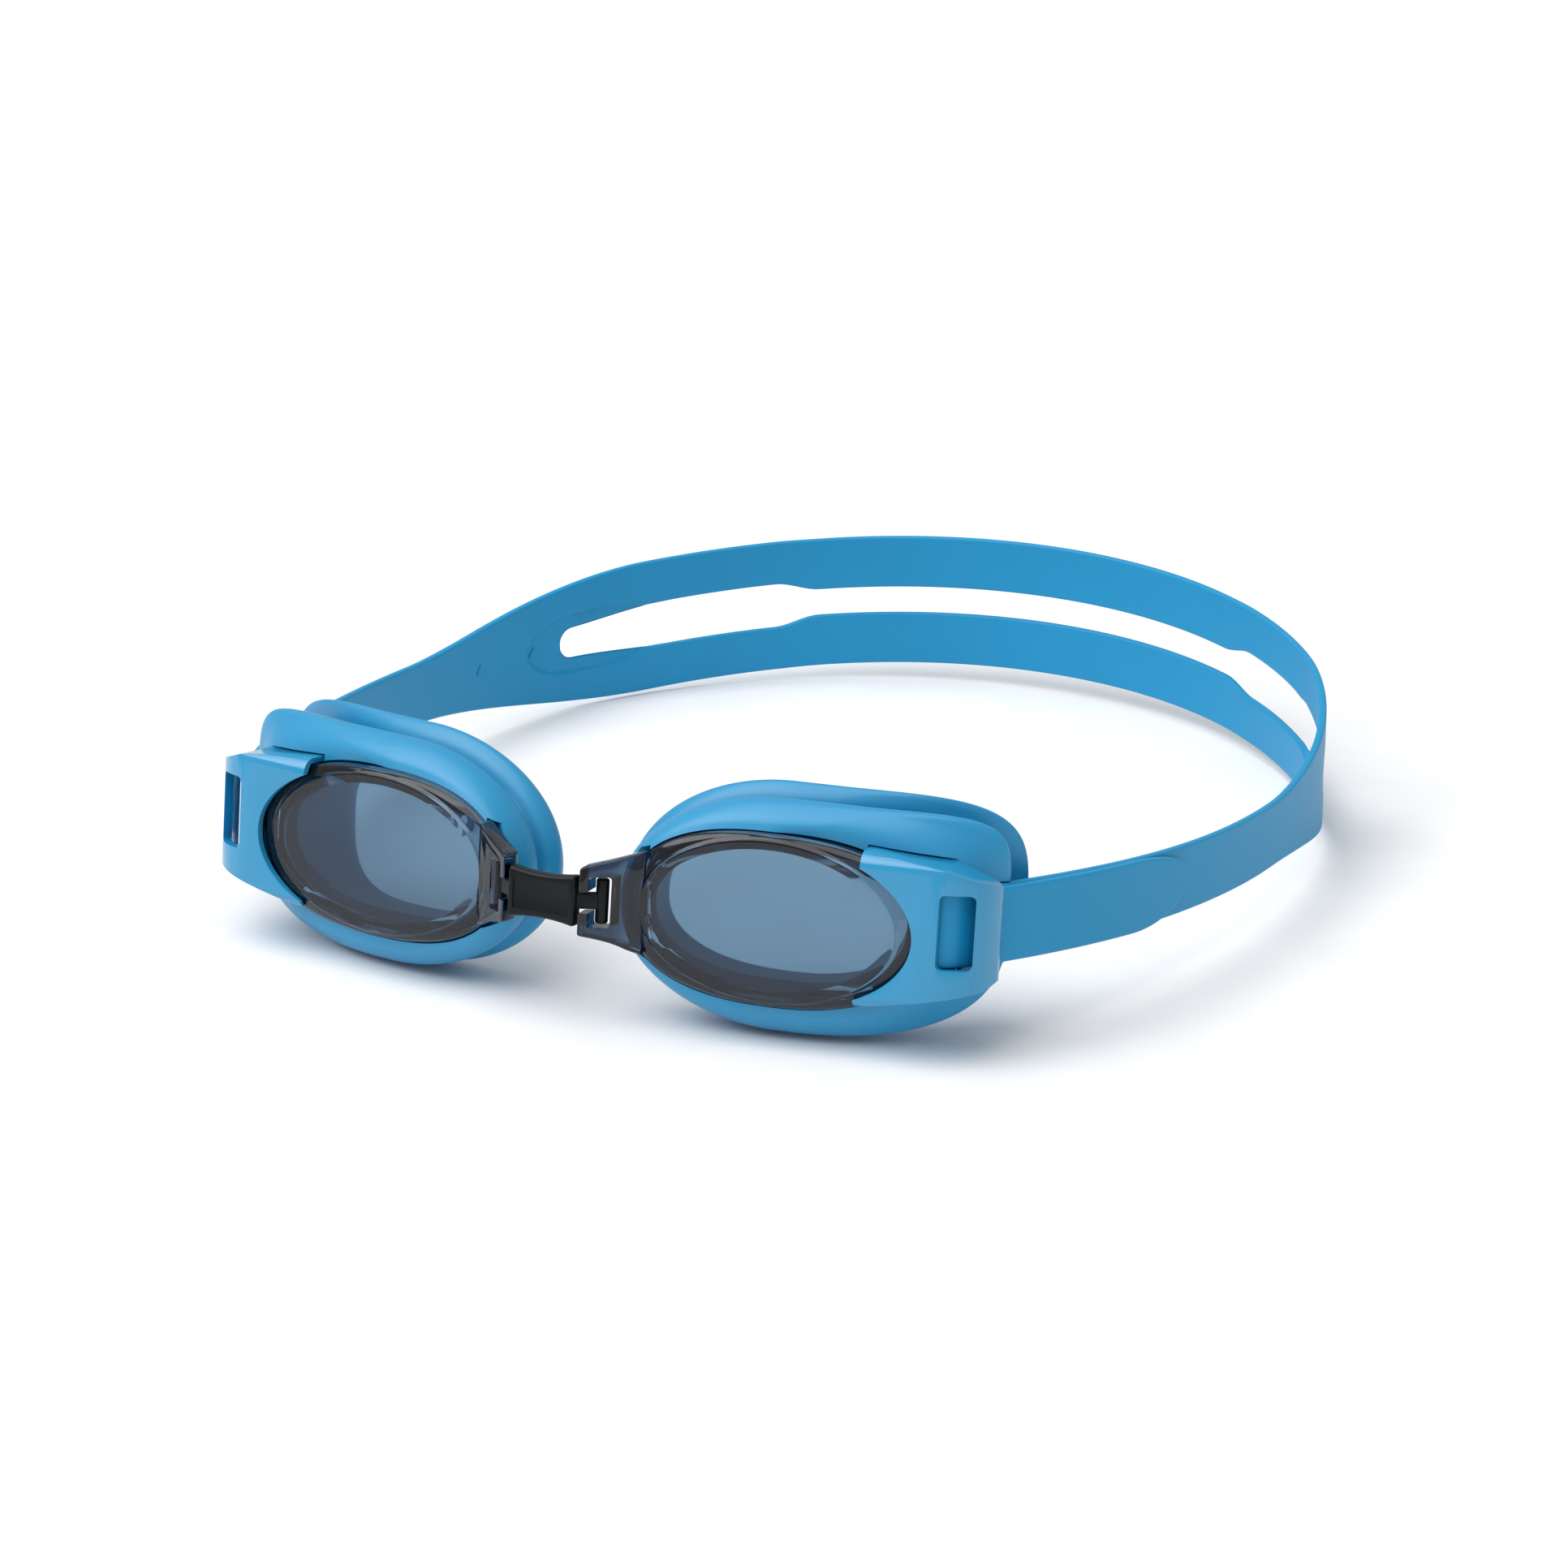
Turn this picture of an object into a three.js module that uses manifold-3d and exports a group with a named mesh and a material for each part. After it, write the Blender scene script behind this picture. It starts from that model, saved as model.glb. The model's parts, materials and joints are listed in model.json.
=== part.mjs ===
// Swim goggles: two lens cups with soft pads, a nose bridge that hooks into both lenses, two side clips
// and one moulded silicone head strap that loops round a bar in each clip and splits into two bands.
//
// Millimetres, +Z up. The wearer looks along -Y, so +X is the wearer's left. The model stands on the
// lower edges of its pads, with its lower band just clear of the floor, and its origin is the bottom
// centre of its own box.
//
// A cup is drawn in its own frame: x runs outward to the temple, y runs back into the cup, z runs up,
// and the origin is the centre of the lens front. The other cup is the same cup mirrored.

import * as THREE from 'three';
import { ParametricGeometry } from 'three/addons/geometries/ParametricGeometry.js';
import { mergeVertices } from 'three/addons/utils/BufferGeometryUtils.js';
import Module from 'manifold-3d';

const wasm = await Module();
wasm.setup();

const { cos, sin, sqrt, abs, sign, max, min, PI } = Math;
const degrees = THREE.MathUtils.degToRad;
const { smoothstep, lerp } = THREE.MathUtils;

// ---------------------------------------------------------------------------------------- dimensions

const RUNNING_GAP = 0.3; // between pieces that touch

// How the cups stand
const LENS_WRAP = degrees(8); // each lens looks this much outward
const FACE_LEAN = degrees(6.7); // the front leans back on the floor

// Lens: a flat oval window on a shoulder and a short wall, all one clear moulding
const WINDOW_REACH = 22.2; // half length of the oval
const WINDOW_RISE = 13.6; // half height of the oval
const WINDOW_STEP = 0.6; // ledge round the oval, both its width and its depth
const LENS_THICKNESS = 1.8;
const SHOULDER_TEMPLE = 4.2; // from the oval out to the wall, on each side
const SHOULDER_NOSE = 2.6;
const SHOULDER_TOP = 0.8;
const SHOULDER_BOTTOM = 1;
const WALL_SQUARENESS = 2.4;
const WALL_FRONT = 1.6; // depth of the shoulder's outer edge
const WALL_LENGTH = 5.6; // from there back to the wall's rear edge

// Nose socket of the lens: a slab that leans forward to the nose, with a window for the bridge's bar
const SOCKET_LEAN = degrees(30);
const SOCKET_REACH = 6.2; // past the wall, towards the nose
const SOCKET_THICKNESS = 3.4;
const SOCKET_TOP = 6.2;
const SOCKET_BOTTOM = 5.4;
const SOCKET_ROOT = 3.4; // where its front face leaves the shoulder, short of the wall
const SOCKET_PROUD = 1.2; // how far its front stands before the shoulder's edge there
const SOCKET_WINGS_AT = 8.7; // its widening edges end on the shoulder, this far short of the wall
const SOCKET_WING_TOP = 11.5;
const SOCKET_WING_BOTTOM = 11.1;
const HOOK_BAR_FROM_TIP = 3;
const HOOK_BAR_RADIUS = 1.1;
const HOOK_BAR_LENGTH = 7.6;
const HOOK_RISE = 0.3; // the hooks sit this much above the lens centre
const HOOK_NECK_HEIGHT = 2.8;
const HOOK_NECK_THICKNESS = 1.6;
const HOOK_PLAY = 0.5; // room round the hook bar and its neck, which lets the cup swing
const BEHIND_HOOK_ROOM = 1.6; // extra room on the lens side of the bar, for clipping it in

// Nose bridge. Its belt sets how far apart the lenses are.
const BELT_LENGTH = 12.6;
const BELT_HEIGHT_ENDS = 8.8;
const BELT_HEIGHT_MIDDLE = 7.5;
const BELT_THICKNESS = 2.6;
const BELT_GAP = 0.7; // between the belt's ends and the sockets
const BELT_PANEL_INSET = 1.1; // frame round the shallow panel on the front
const BELT_PANEL_DEPTH = 0.3;

// Pad: a front bead that grips the lens wall, a groove, and a wider sealing lip
const BEAD_TEMPLE = 10.8; // width outside the lens wall, on each side
const BEAD_NOSE = 3;
const BEAD_TOP = 5;
const BEAD_BOTTOM = 5.4;
const BEAD_BEHIND_WALL = 0.4; // the bead's crest lies this far behind the wall's rear edge
const BEAD_RADIUS = 3;
const LIP_TEMPLE = 11.2;
const LIP_NOSE = 4;
const LIP_TOP = 6.6;
const LIP_BOTTOM = 5.8;
const LIP_BEHIND_WALL = 6.8;
const LIP_THICKNESS = 2.6;
const LIP_OVERHANG = 3.2; // how far the sealing lip turns in over the opening
const BEAD_CORNER_SQUARENESS = 7; // of its upper temple corner
const LIP_CORNER_SQUARENESS = 4.4;
const BEAD_LOWER_SQUARENESS = 2.6; // of its lower temple corner
const LIP_LOWER_SQUARENESS = 1.9; // less, so the lip stays behind the side clip there
const BEAD_SWEEP = 7; // the temple side runs back, to follow the face
const LIP_SWEEP = 10.5;
const SEAT_SWEEP = 3.4; // less than the lens wall's length, so the pad still grips the wall
const SEAT_STEP = 0.6; // from the lens shoulder's edge back to the pad
const PAD_WAIST = 0.45; // how deep the groove goes between bead and lens wall, as a share

// Side clip: a thin shell over the temple end of the lens, open at the back
const CLIP_WALL = 1.2;
const CLIP_PROUD = 0.6; // its front stands this much before the lens front
const CLIP_BEHIND_BAR = 3.2; // from the strap bar back to its rear edge
const CLIP_TIPS = 10.8; // its upper and lower points reach this far over the lens wall
const CLIP_TOP_FRONT = 0.6; // its points lie this much inside the lens wall's top
const CLIP_BOTTOM_FRONT = 2.1; // and bottom
const CLIP_KNEE = 3.6; // the upper edge bends down this far past the lens wall
const CLIP_KNEE_DROP = 1.4;
const CLIP_ROUNDING = 2.6; // of its upper and lower front edges
const CLIP_CORNER = 1.2; // cut off its rear corners
const CLIP_RIM_TEMPLE = 2.9; // its front edge is an oval round the lens window
const CLIP_RIM_TOP = 0.6;
const CLIP_SHOULDER = 0.6; // past the lens wall the shell curves back
const CLIP_CURVE_FRONT = 2.4; // how far back the curve's end pulls it, near the outer side
const CLIP_CURVE_SIDE = 1.5; // and how far inward
const CLIP_CURVE_END = 1.2; // straight part before the rear edge
const CLIP_SIDE_ROOM = 3.5; // beside the strap's loop, because the strap leaves at a slant
const CLIP_ROOM_ABOVE = 0.4; // over the strap
const CLIP_ROOM_BELOW = 2.4;
const CLIP_WINDOW_WIDTH = 5.6;
const CLIP_WINDOW_HEIGHT = 12.6;
const CLIP_WINDOW_OFFSET = 1.6; // of the window's middle, outward of the bar

// Strap bar inside the clip
const BAR_PAST_WALL = 4.1; // outward of the lens wall
const BAR_DEPTH = 5.2;
const BAR_RADIUS = 0.9;

// Strap
const STRAP_THICKNESS = 1.4;
const STRAP_HEIGHT = 12.8; // at the clips
const STRAP_WAIST_HEIGHT = 11.8; // of the arms
const STRAP_WAIST_AT = 80; // distances along the strap start at the clip's bar
const STRAP_RISE = 2.1; // its middle line at the clip, above the lens centre
const STRAP_HEADING = degrees(27); // outward, where it leaves the clip
const SIDE_RADIUS = 190;
const SIDE_END_HEADING = degrees(-8);
const BACK_CORNER_RADIUS = 92.5;
const BACK_CORNER_END_HEADING = degrees(-52);
const SPREAD_START = 92; // the arm widens from here
const SPREAD_END = 160; // to here
const BANDS_HEIGHT = 26.4; // both bands and the gap between them
const SLOT_START = 139;
const SLOT_END_RADIUS = 3;
const SLOT_HALF_HEIGHT = 4.5;
const SLOT_WIDEST_AT = 166;
const REAR_PAD_LENGTH = 92; // the wider stretch of the bands, at the back of the head
const REAR_PAD_STEP = 9; // length of the step up to it
const REAR_SLOT_HALF_HEIGHT = 2.7;
const REAR_HEIGHT = 26.2;
const STRAP_DIP = 9.4; // the middle line drops this much from the clips
const STRAP_DIP_AT = 140; // to its lowest point, measured back from the lenses
const REAR_RISE = 3.6; // and rises again to the back

// Lengths of the strap's stretches
const ARM_START = 1.5; // past the bar
const ARM_BREAK = 60; // the front half of the arm bends with the cup, the rear half gives with the strap
const JUNCTION_START = 104;
const JUNCTION_END = 150;
const CONVERGE_AT = 8; // the arm and the tail lie against each other from here
const TAIL_END = 56;
const TAIL_HEIGHT = 12.6;
const TAIL_TAPER = 16; // length of its rounded tip
const TAIL_TIP_TOP = 0.35; // where the tip's end lies, as shares of half its height
const TAIL_TIP_BOTTOM = 0.25;

// Sizes that follow
const WALL = {
  temple: WINDOW_REACH + SHOULDER_TEMPLE,
  nose: WINDOW_REACH + SHOULDER_NOSE,
  top: WINDOW_RISE + SHOULDER_TOP,
  bottom: WINDOW_RISE + SHOULDER_BOTTOM,
  squareness: WALL_SQUARENESS,
};
const BEAD = {
  temple: WALL.temple + BEAD_TEMPLE,
  nose: WALL.nose + BEAD_NOSE,
  top: WALL.top + BEAD_TOP,
  bottom: WALL.bottom + BEAD_BOTTOM,
  squareness: 2,
  upperCorner: BEAD_CORNER_SQUARENESS,
  lowerCorner: BEAD_LOWER_SQUARENESS,
};
const LIP = {
  temple: WALL.temple + LIP_TEMPLE,
  nose: WALL.nose + LIP_NOSE,
  top: WALL.top + LIP_TOP,
  bottom: WALL.bottom + LIP_BOTTOM,
  squareness: 2,
  upperCorner: LIP_CORNER_SQUARENESS,
  lowerCorner: LIP_LOWER_SQUARENESS,
};
const wallBack = WALL_FRONT + WALL_LENGTH;
const socketTip = WALL.nose + SOCKET_REACH;
const socketRoot = WALL.nose - SOCKET_ROOT;
const hookBarAt = socketTip - HOOK_BAR_FROM_TIP;
const barAt = WALL.temple + BAR_PAST_WALL;
const loopMiddleRadius = BAR_RADIUS + RUNNING_GAP + STRAP_THICKNESS / 2;
const layerSpacing = STRAP_THICKNESS + RUNNING_GAP;
const clipFront = -CLIP_PROUD;
const clipBack = BAR_DEPTH + CLIP_BEHIND_BAR;
const clipReach = barAt + loopMiddleRadius + STRAP_THICKNESS / 2 + CLIP_SIDE_ROOM + CLIP_WALL;
const clipTip = WALL.temple - CLIP_TIPS;
const clipKnee = WALL.temple + CLIP_KNEE;
const clipTop = WALL.top - CLIP_TOP_FRONT;
const clipBottom = WALL.bottom - CLIP_BOTTOM_FRONT;
const clipRearTop = STRAP_RISE + STRAP_HEIGHT / 2 + CLIP_ROOM_ABOVE + CLIP_WALL;
const clipRearBottom = STRAP_HEIGHT / 2 - STRAP_RISE + CLIP_ROOM_BELOW + CLIP_WALL;
const CUT = 40; // how far a cutting shape runs past what it cuts

// ------------------------------------------------------------------------------------------- helpers

function indexedPositions(geometry) {
  for (const name of Object.keys(geometry.attributes)) {
    if (name !== 'position') geometry.deleteAttribute(name);
  }
  return mergeVertices(geometry, 1e-4);
}

// A solid from any closed three.js geometry. Triangles that shrank to a line at a pole are left out.
function solidOf(geometry) {
  const merged = indexedPositions(geometry);
  const corners = merged.index.array;
  const kept = [];
  for (let i = 0; i < corners.length; i += 3) {
    const [a, b, c] = corners.slice(i, i + 3);
    if (a !== b && b !== c && c !== a) kept.push(a, b, c);
  }
  const mesh = new wasm.Mesh({
    numProp: 3,
    vertProperties: new Float32Array(merged.attributes.position.array),
    triVerts: new Uint32Array(kept),
  });
  const solid = new wasm.Manifold(mesh);
  return solid.volume() < 0 ? solidOf(turnedInsideOut(merged)) : solid;
}

function geometryOf(solid) {
  const mesh = solid.getMesh();
  const geometry = new THREE.BufferGeometry();
  geometry.setAttribute('position', new THREE.BufferAttribute(mesh.vertProperties, 3));
  geometry.setIndex(new THREE.BufferAttribute(mesh.triVerts, 1));
  return geometry;
}

function turnedInsideOut(geometry) {
  const turned = geometry.clone();
  const corners = turned.index.array;
  for (let i = 0; i < corners.length; i += 3) {
    [corners[i + 1], corners[i + 2]] = [corners[i + 2], corners[i + 1]];
  }
  return turned;
}

function mirrored(geometry) {
  return turnedInsideOut(geometry.clone().scale(-1, 1, 1));
}

// A closed surface through rings: point(turn, step) gives a point, with turn going once round.
function lofted(point, around, along) {
  const place = (u, v, target) => target.copy(point(u % 1, v));
  return solidOf(new ParametricGeometry(place, around, along));
}

// An outline drawn in plan (x, y) and raised to a height along z.
function raised(outline, bottom, top) {
  const options = { depth: top - bottom, bevelEnabled: false, curveSegments: 12 };
  return solidOf(new THREE.ExtrudeGeometry(new THREE.Shape(outline), options).translate(0, 0, bottom));
}

// An outline drawn from the front (x, z) and pushed back along y.
function pushedBack(outline, front, back) {
  const options = { depth: back - front, bevelEnabled: false, curveSegments: 12 };
  const geometry = new THREE.ExtrudeGeometry(new THREE.Shape(outline), options);
  return solidOf(geometry.rotateX(PI / 2).translate(0, back, 0));
}

// An outline drawn from the side (y, z) and pushed outward along x.
function pushedOut(outline, inner, outer) {
  const options = { depth: outer - inner, bevelEnabled: false, curveSegments: 12 };
  const geometry = new THREE.ExtrudeGeometry(new THREE.Shape(outline), options);
  return solidOf(geometry.rotateX(PI / 2).rotateZ(PI / 2).translate(inner, 0, 0));
}

function box(lowX, highX, lowY, highY, lowZ, highZ) {
  const geometry = new THREE.BoxGeometry(highX - lowX, highY - lowY, highZ - lowZ);
  return solidOf(geometry.translate((lowX + highX) / 2, (lowY + highY) / 2, (lowZ + highZ) / 2));
}

function uprightRod(x, y, z, radius, length) {
  return solidOf(new THREE.CylinderGeometry(radius, radius, length, 20).rotateX(PI / 2).translate(x, y, z));
}

const v2 = (x, y) => new THREE.Vector2(x, y);
const v3 = (x, y, z) => new THREE.Vector3(x, y, z);

// A rounded outline with its own reach on each side, and squarer corners at the temple where it has
// them. turn 0 is the temple, 0.25 the top, 0.5 the nose.
function roundedOutline(turn, reach) {
  const c = cos(2 * PI * turn);
  const s = sin(2 * PI * turn);
  const { squareness, upperCorner = squareness, lowerCorner = squareness } = reach;
  const temple = s > 0 ? upperCorner : lowerCorner;
  const power = 2 / (c > 0 ? temple : squareness);
  const x = sign(c) * abs(c) ** power * (c > 0 ? reach.temple : reach.nose);
  const z = sign(s) * abs(s) ** power * (s > 0 ? reach.top : reach.bottom);
  return { x, z };
}

// The same outline made smaller on every side.
function drawnIn(reach, by) {
  const { temple, nose, top, bottom, squareness } = reach;
  return { temple: temple - by, nose: nose - by, top: top - by, bottom: bottom - by, squareness };
}

const oval = (reach, rise) => ({ temple: reach, nose: reach, top: rise, bottom: rise, squareness: 2 });

// How far back the temple side has run at x, from nothing at the lens centre to all of it at reach.
const swept = (x, reach, all) => all * (max(0, x) / reach) ** 2;

// ---------------------------------------------------------------------------------------------- lens

const socketSlope = Math.tan(SOCKET_LEAN);
const socketFront = (x) => WALL_FRONT - SOCKET_PROUD - (x - socketRoot) * socketSlope; // x to the nose
const hookBarDepth = socketFront(hookBarAt) + SOCKET_THICKNESS / 2 / cos(SOCKET_LEAN);

// A solid of revolution-like rings, each an outline at its own depth, closed at both poles.
function ringed(rings, around = 72) {
  const stack = [{ reach: oval(0, 0), depth: rings[0].depth }, ...rings];
  stack.push({ reach: oval(0, 0), depth: rings.at(-1).depth });
  const point = (turn, step) => {
    const ring = stack[Math.round(step * (stack.length - 1))];
    const { x, z } = roundedOutline(turn, ring.reach);
    return v3(x, ring.depth, z);
  };
  return lofted(point, around, stack.length - 1);
}

function lens() {
  const cup = ringed([
    { reach: oval(WINDOW_REACH, WINDOW_RISE), depth: 0 },
    { reach: oval(WINDOW_REACH + WINDOW_STEP, WINDOW_RISE + WINDOW_STEP), depth: WINDOW_STEP },
    { reach: WALL, depth: WALL_FRONT },
    { reach: WALL, depth: wallBack },
    { reach: drawnIn(WALL, LENS_THICKNESS), depth: wallBack },
    { reach: drawnIn(WALL, LENS_THICKNESS), depth: WALL_FRONT + LENS_THICKNESS },
    { reach: oval(WINDOW_REACH - LENS_THICKNESS, WINDOW_RISE - LENS_THICKNESS), depth: LENS_THICKNESS },
  ]);
  return cup.add(noseSocket().subtract(lensHollow()));
}

// The hollow of the cup, which the nose socket must not fill.
function lensHollow() {
  const inner = drawnIn(WALL, LENS_THICKNESS / 2);
  const outline = [];
  for (let i = 0; i < 48; i += 1) {
    const { x, z } = roundedOutline(i / 48, inner);
    outline.push(v2(x, z));
  }
  return pushedBack(outline, WALL_FRONT + LENS_THICKNESS / 2, wallBack + CUT);
}

// The socket's slab, or with by the room that it needs.
function socketSlab(by) {
  const back = (SOCKET_THICKNESS + by) * cos(SOCKET_LEAN);
  const shift = (SOCKET_THICKNESS + by) * sin(SOCKET_LEAN);
  const slab = raised([
    v2(-socketRoot, socketFront(socketRoot)),
    v2(-socketTip, socketFront(socketTip)),
    v2(-socketTip + shift, socketFront(socketTip) + back),
    v2(-socketRoot + shift, socketFront(socketRoot) + back),
  ], -CUT, CUT);
  const wings = -WALL.nose + SOCKET_WINGS_AT;
  const face = pushedBack([
    v2(-socketTip, SOCKET_TOP + by),
    v2(-socketTip, -SOCKET_BOTTOM - by),
    v2(-WALL.nose, -WALL.bottom / 2 - by),
    v2(wings, -SOCKET_WING_BOTTOM - by),
    v2(wings, SOCKET_WING_TOP + by),
  ], socketFront(socketTip) - 1, wallBack);
  return slab.intersect(face);
}

function noseSocket() {
  const rise = HOOK_RISE;
  const halfWindow = HOOK_BAR_LENGTH / 2 + HOOK_PLAY;
  const windowNoseSide = -hookBarAt - HOOK_BAR_RADIUS - HOOK_PLAY;
  const windowLensSide = -hookBarAt + HOOK_BAR_RADIUS + BEHIND_HOOK_ROOM;
  const window = box(windowNoseSide, windowLensSide, -CUT, CUT, rise - halfWindow, rise + halfWindow);
  const halfGap = HOOK_NECK_HEIGHT / 2 + HOOK_PLAY;
  const gap = box(-socketTip - 1, -hookBarAt, -CUT, CUT, rise - halfGap, rise + halfGap);
  return socketSlab(0).subtract(window).subtract(gap);
}

// ----------------------------------------------------------------------------------------------- pad

const WALL_SEAT = drawnIn(WALL, -RUNNING_GAP);

function pad() {
  const between = (a, b, share) => ({ x: lerp(a.x, b.x, share), z: lerp(a.z, b.z, share) });
  const inner = drawnIn(WALL, LENS_THICKNESS + LIP_OVERHANG / 2);
  // Each point of the section: where it lies between the outlines, and its depth.
  const section = (turn) => {
    const seat = roundedOutline(turn, WALL_SEAT);
    const bead = roundedOutline(turn, BEAD);
    const lip = roundedOutline(turn, LIP);
    const lining = roundedOutline(turn, inner);
    const beadBack = swept(bead.x, BEAD.temple, BEAD_SWEEP) + wallBack + BEAD_BEHIND_WALL;
    const lipBack = swept(lip.x, LIP.temple, LIP_SWEEP) + wallBack + LIP_BEHIND_WALL;
    const seatFront = swept(bead.x, BEAD.temple, SEAT_SWEEP) + WALL_FRONT + SEAT_STEP;
    const waist = (beadBack + lipBack) / 2;
    return [
      [seat, seatFront],
      [between(seat, bead, 0.3), lerp(seatFront, beadBack - BEAD_RADIUS, 0.7)],
      [between(seat, bead, 0.8), beadBack - BEAD_RADIUS * 0.8],
      [bead, beadBack],
      [between(seat, bead, 0.85), beadBack + BEAD_RADIUS * 0.6],
      [between(seat, bead, PAD_WAIST), waist],
      [between(seat, lip, 0.8), lipBack - LIP_THICKNESS * 0.6],
      [lip, lipBack],
      [between(seat, lip, 0.85), lipBack + LIP_THICKNESS * 0.6],
      [between(lining, lip, 0.45), lipBack + LIP_THICKNESS],
      [between(lining, lip, 0.05), lipBack + LIP_THICKNESS * 0.4],
      [lining, lerp(wallBack, lipBack, 0.5)],
      [lining, wallBack + RUNNING_GAP],
      [seat, wallBack + RUNNING_GAP],
    ];
  };
  const point = (turn, step) => {
    const points = section(turn);
    const [{ x, z }, depth] = points[Math.round(step * points.length) % points.length];
    return v3(x, depth, z);
  };
  return lofted(point, 72, section(0).length)
    .subtract(clipRoom())
    .subtract(socketSlab(2 * RUNNING_GAP))
    .subtract(strapRoom());
}

// ---------------------------------------------------------------------------------------- side clip

// Seen from above: the shell's front runs straight, then curves back to its rear edge.
function clipPlan(by) {
  const front = clipFront + by;
  const reach = clipReach - by;
  const back = clipBack + (by > 0 ? 1 : 0);
  const shoulder = WALL.temple + CLIP_SHOULDER;
  const shape = new THREE.Shape();
  shape.moveTo(0, front);
  shape.lineTo(shoulder - by, front);
  const halfway = lerp(shoulder, reach, 0.5);
  const side = reach - CLIP_CURVE_SIDE;
  shape.bezierCurveTo(halfway, front, side, front + CLIP_CURVE_FRONT, reach, back - CLIP_CURVE_END);
  shape.lineTo(reach, back);
  shape.lineTo(0, back);
  return shape.getPoints(12);
}

// Seen from the front: two points over the lens, joined behind by a lower, straight rear edge.
function clipFace(by) {
  const corner = max(0.1, CLIP_CORNER - by * (2 - sqrt(2)));
  const reach = clipReach - by;
  const rearTop = clipRearTop - by;
  const rearBottom = -clipRearBottom + by;
  return [
    v2(clipTip + by, clipTop - by),
    v2(clipTip + by, -clipBottom + by),
    v2(reach - corner, rearBottom),
    v2(reach, rearBottom + corner),
    v2(reach, rearTop - corner),
    v2(reach - corner, rearTop),
    v2(clipKnee, clipTop - CLIP_KNEE_DROP - by),
  ];
}

// Seen from the side: rounded upper and lower front edges.
function clipSide(by) {
  const round = CLIP_ROUNDING;
  const front = clipFront + by;
  const top = clipTop - by;
  const bottom = -clipBottom + by;
  const shape = new THREE.Shape();
  shape.moveTo(front, bottom + round);
  shape.lineTo(front, top - round);
  shape.quadraticCurveTo(front, top, front + round, top);
  shape.lineTo(clipBack + 2, top);
  shape.lineTo(clipBack + 2, bottom);
  shape.lineTo(front + round, bottom);
  shape.quadraticCurveTo(front, bottom, front, bottom + round);
  return shape.getPoints(6);
}

function clipBody(by) {
  const plan = raised(clipPlan(by), -CUT, CUT);
  const face = pushedBack(clipFace(by), -CUT, CUT);
  const side = pushedOut(clipSide(by), 0, clipReach + 1);
  return plan.intersect(face).intersect(side);
}

function ovalBlock(reach, rise, front, back) {
  const outline = new THREE.EllipseCurve(0, 0, reach, rise).getPoints(64).slice(0, -1);
  return pushedBack(outline, front, back);
}

// The room that the lens shoulder and wall need inside the clip.
function lensRoom() {
  const gap = RUNNING_GAP;
  const step = WINDOW_STEP + gap;
  return ringed([
    { reach: oval(WINDOW_REACH + gap, WINDOW_RISE + gap), depth: -gap },
    { reach: oval(WINDOW_REACH + step, WINDOW_RISE + step), depth: WINDOW_STEP - gap },
    { reach: drawnIn(WALL, -gap), depth: WALL_FRONT - gap },
    { reach: drawnIn(WALL, -gap), depth: CUT },
  ]);
}

// The room that the clip needs in the pad.
function clipRoom() {
  return clipBody(-RUNNING_GAP).intersect(box(0, clipReach + CUT, -CUT, clipBack + RUNNING_GAP, -CUT, CUT));
}

function sideClip() {
  const shell = clipBody(0).subtract(clipBody(CLIP_WALL));
  const middle = barAt + CLIP_WINDOW_OFFSET;
  const halfWidth = CLIP_WINDOW_WIDTH / 2;
  const low = STRAP_RISE - CLIP_WINDOW_HEIGHT / 2;
  const window = box(middle - halfWidth, middle + halfWidth, -CUT, BAR_DEPTH, low, low + CLIP_WINDOW_HEIGHT);
  const barLength = clipRearTop + clipRearBottom + 2 * CLIP_WALL;
  const bar = uprightRod(barAt, BAR_DEPTH, (clipRearTop - clipRearBottom) / 2, BAR_RADIUS, barLength);
  const rim = ovalBlock(WINDOW_REACH + CLIP_RIM_TEMPLE, WINDOW_RISE + CLIP_RIM_TOP, -CUT, CUT);
  return shell
    .subtract(window)
    .add(bar.intersect(clipBody(CLIP_WALL / 2)))
    .subtract(rim)
    .subtract(lensRoom());
}

// --------------------------------------------------------------------------------------------- strap

const loopHeading = STRAP_HEADING + LENS_WRAP; // in the cup's frame
const outwardInCup = v2(cos(loopHeading), -sin(loopHeading));

// Half a turn round the clip's bar, with two short legs that run back.
function strapLoop() {
  const outer = loopMiddleRadius + STRAP_THICKNESS / 2;
  const inner = loopMiddleRadius - STRAP_THICKNESS / 2;
  const leg = ARM_START - RUNNING_GAP;
  const shape = new THREE.Shape();
  shape.moveTo(outer, leg);
  shape.lineTo(outer, 0);
  shape.absarc(0, 0, outer, 0, -PI, true);
  shape.lineTo(-outer, leg);
  shape.lineTo(-inner, leg);
  shape.lineTo(-inner, 0);
  shape.absarc(0, 0, inner, -PI, 0, false);
  shape.lineTo(inner, leg);
  const options = { depth: STRAP_HEIGHT, bevelEnabled: false, curveSegments: 14 };
  const geometry = new THREE.ExtrudeGeometry(shape, options);
  geometry.translate(0, 0, STRAP_RISE - STRAP_HEIGHT / 2);
  geometry.rotateZ(-loopHeading).translate(barAt, BAR_DEPTH, 0);
  return solidOf(geometry);
}

const faceTurn = new THREE.Matrix4().makeRotationX(-FACE_LEAN);
const lensMiddle = BELT_LENGTH / 2 + BELT_GAP + socketTip * cos(LENS_WRAP) + socketFront(socketTip) * sin(LENS_WRAP);
const cupPlace = new THREE.Matrix4().makeRotationZ(LENS_WRAP).setPosition(lensMiddle, 0, 0);
const fromCup = faceTurn.clone().multiply(cupPlace);

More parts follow.
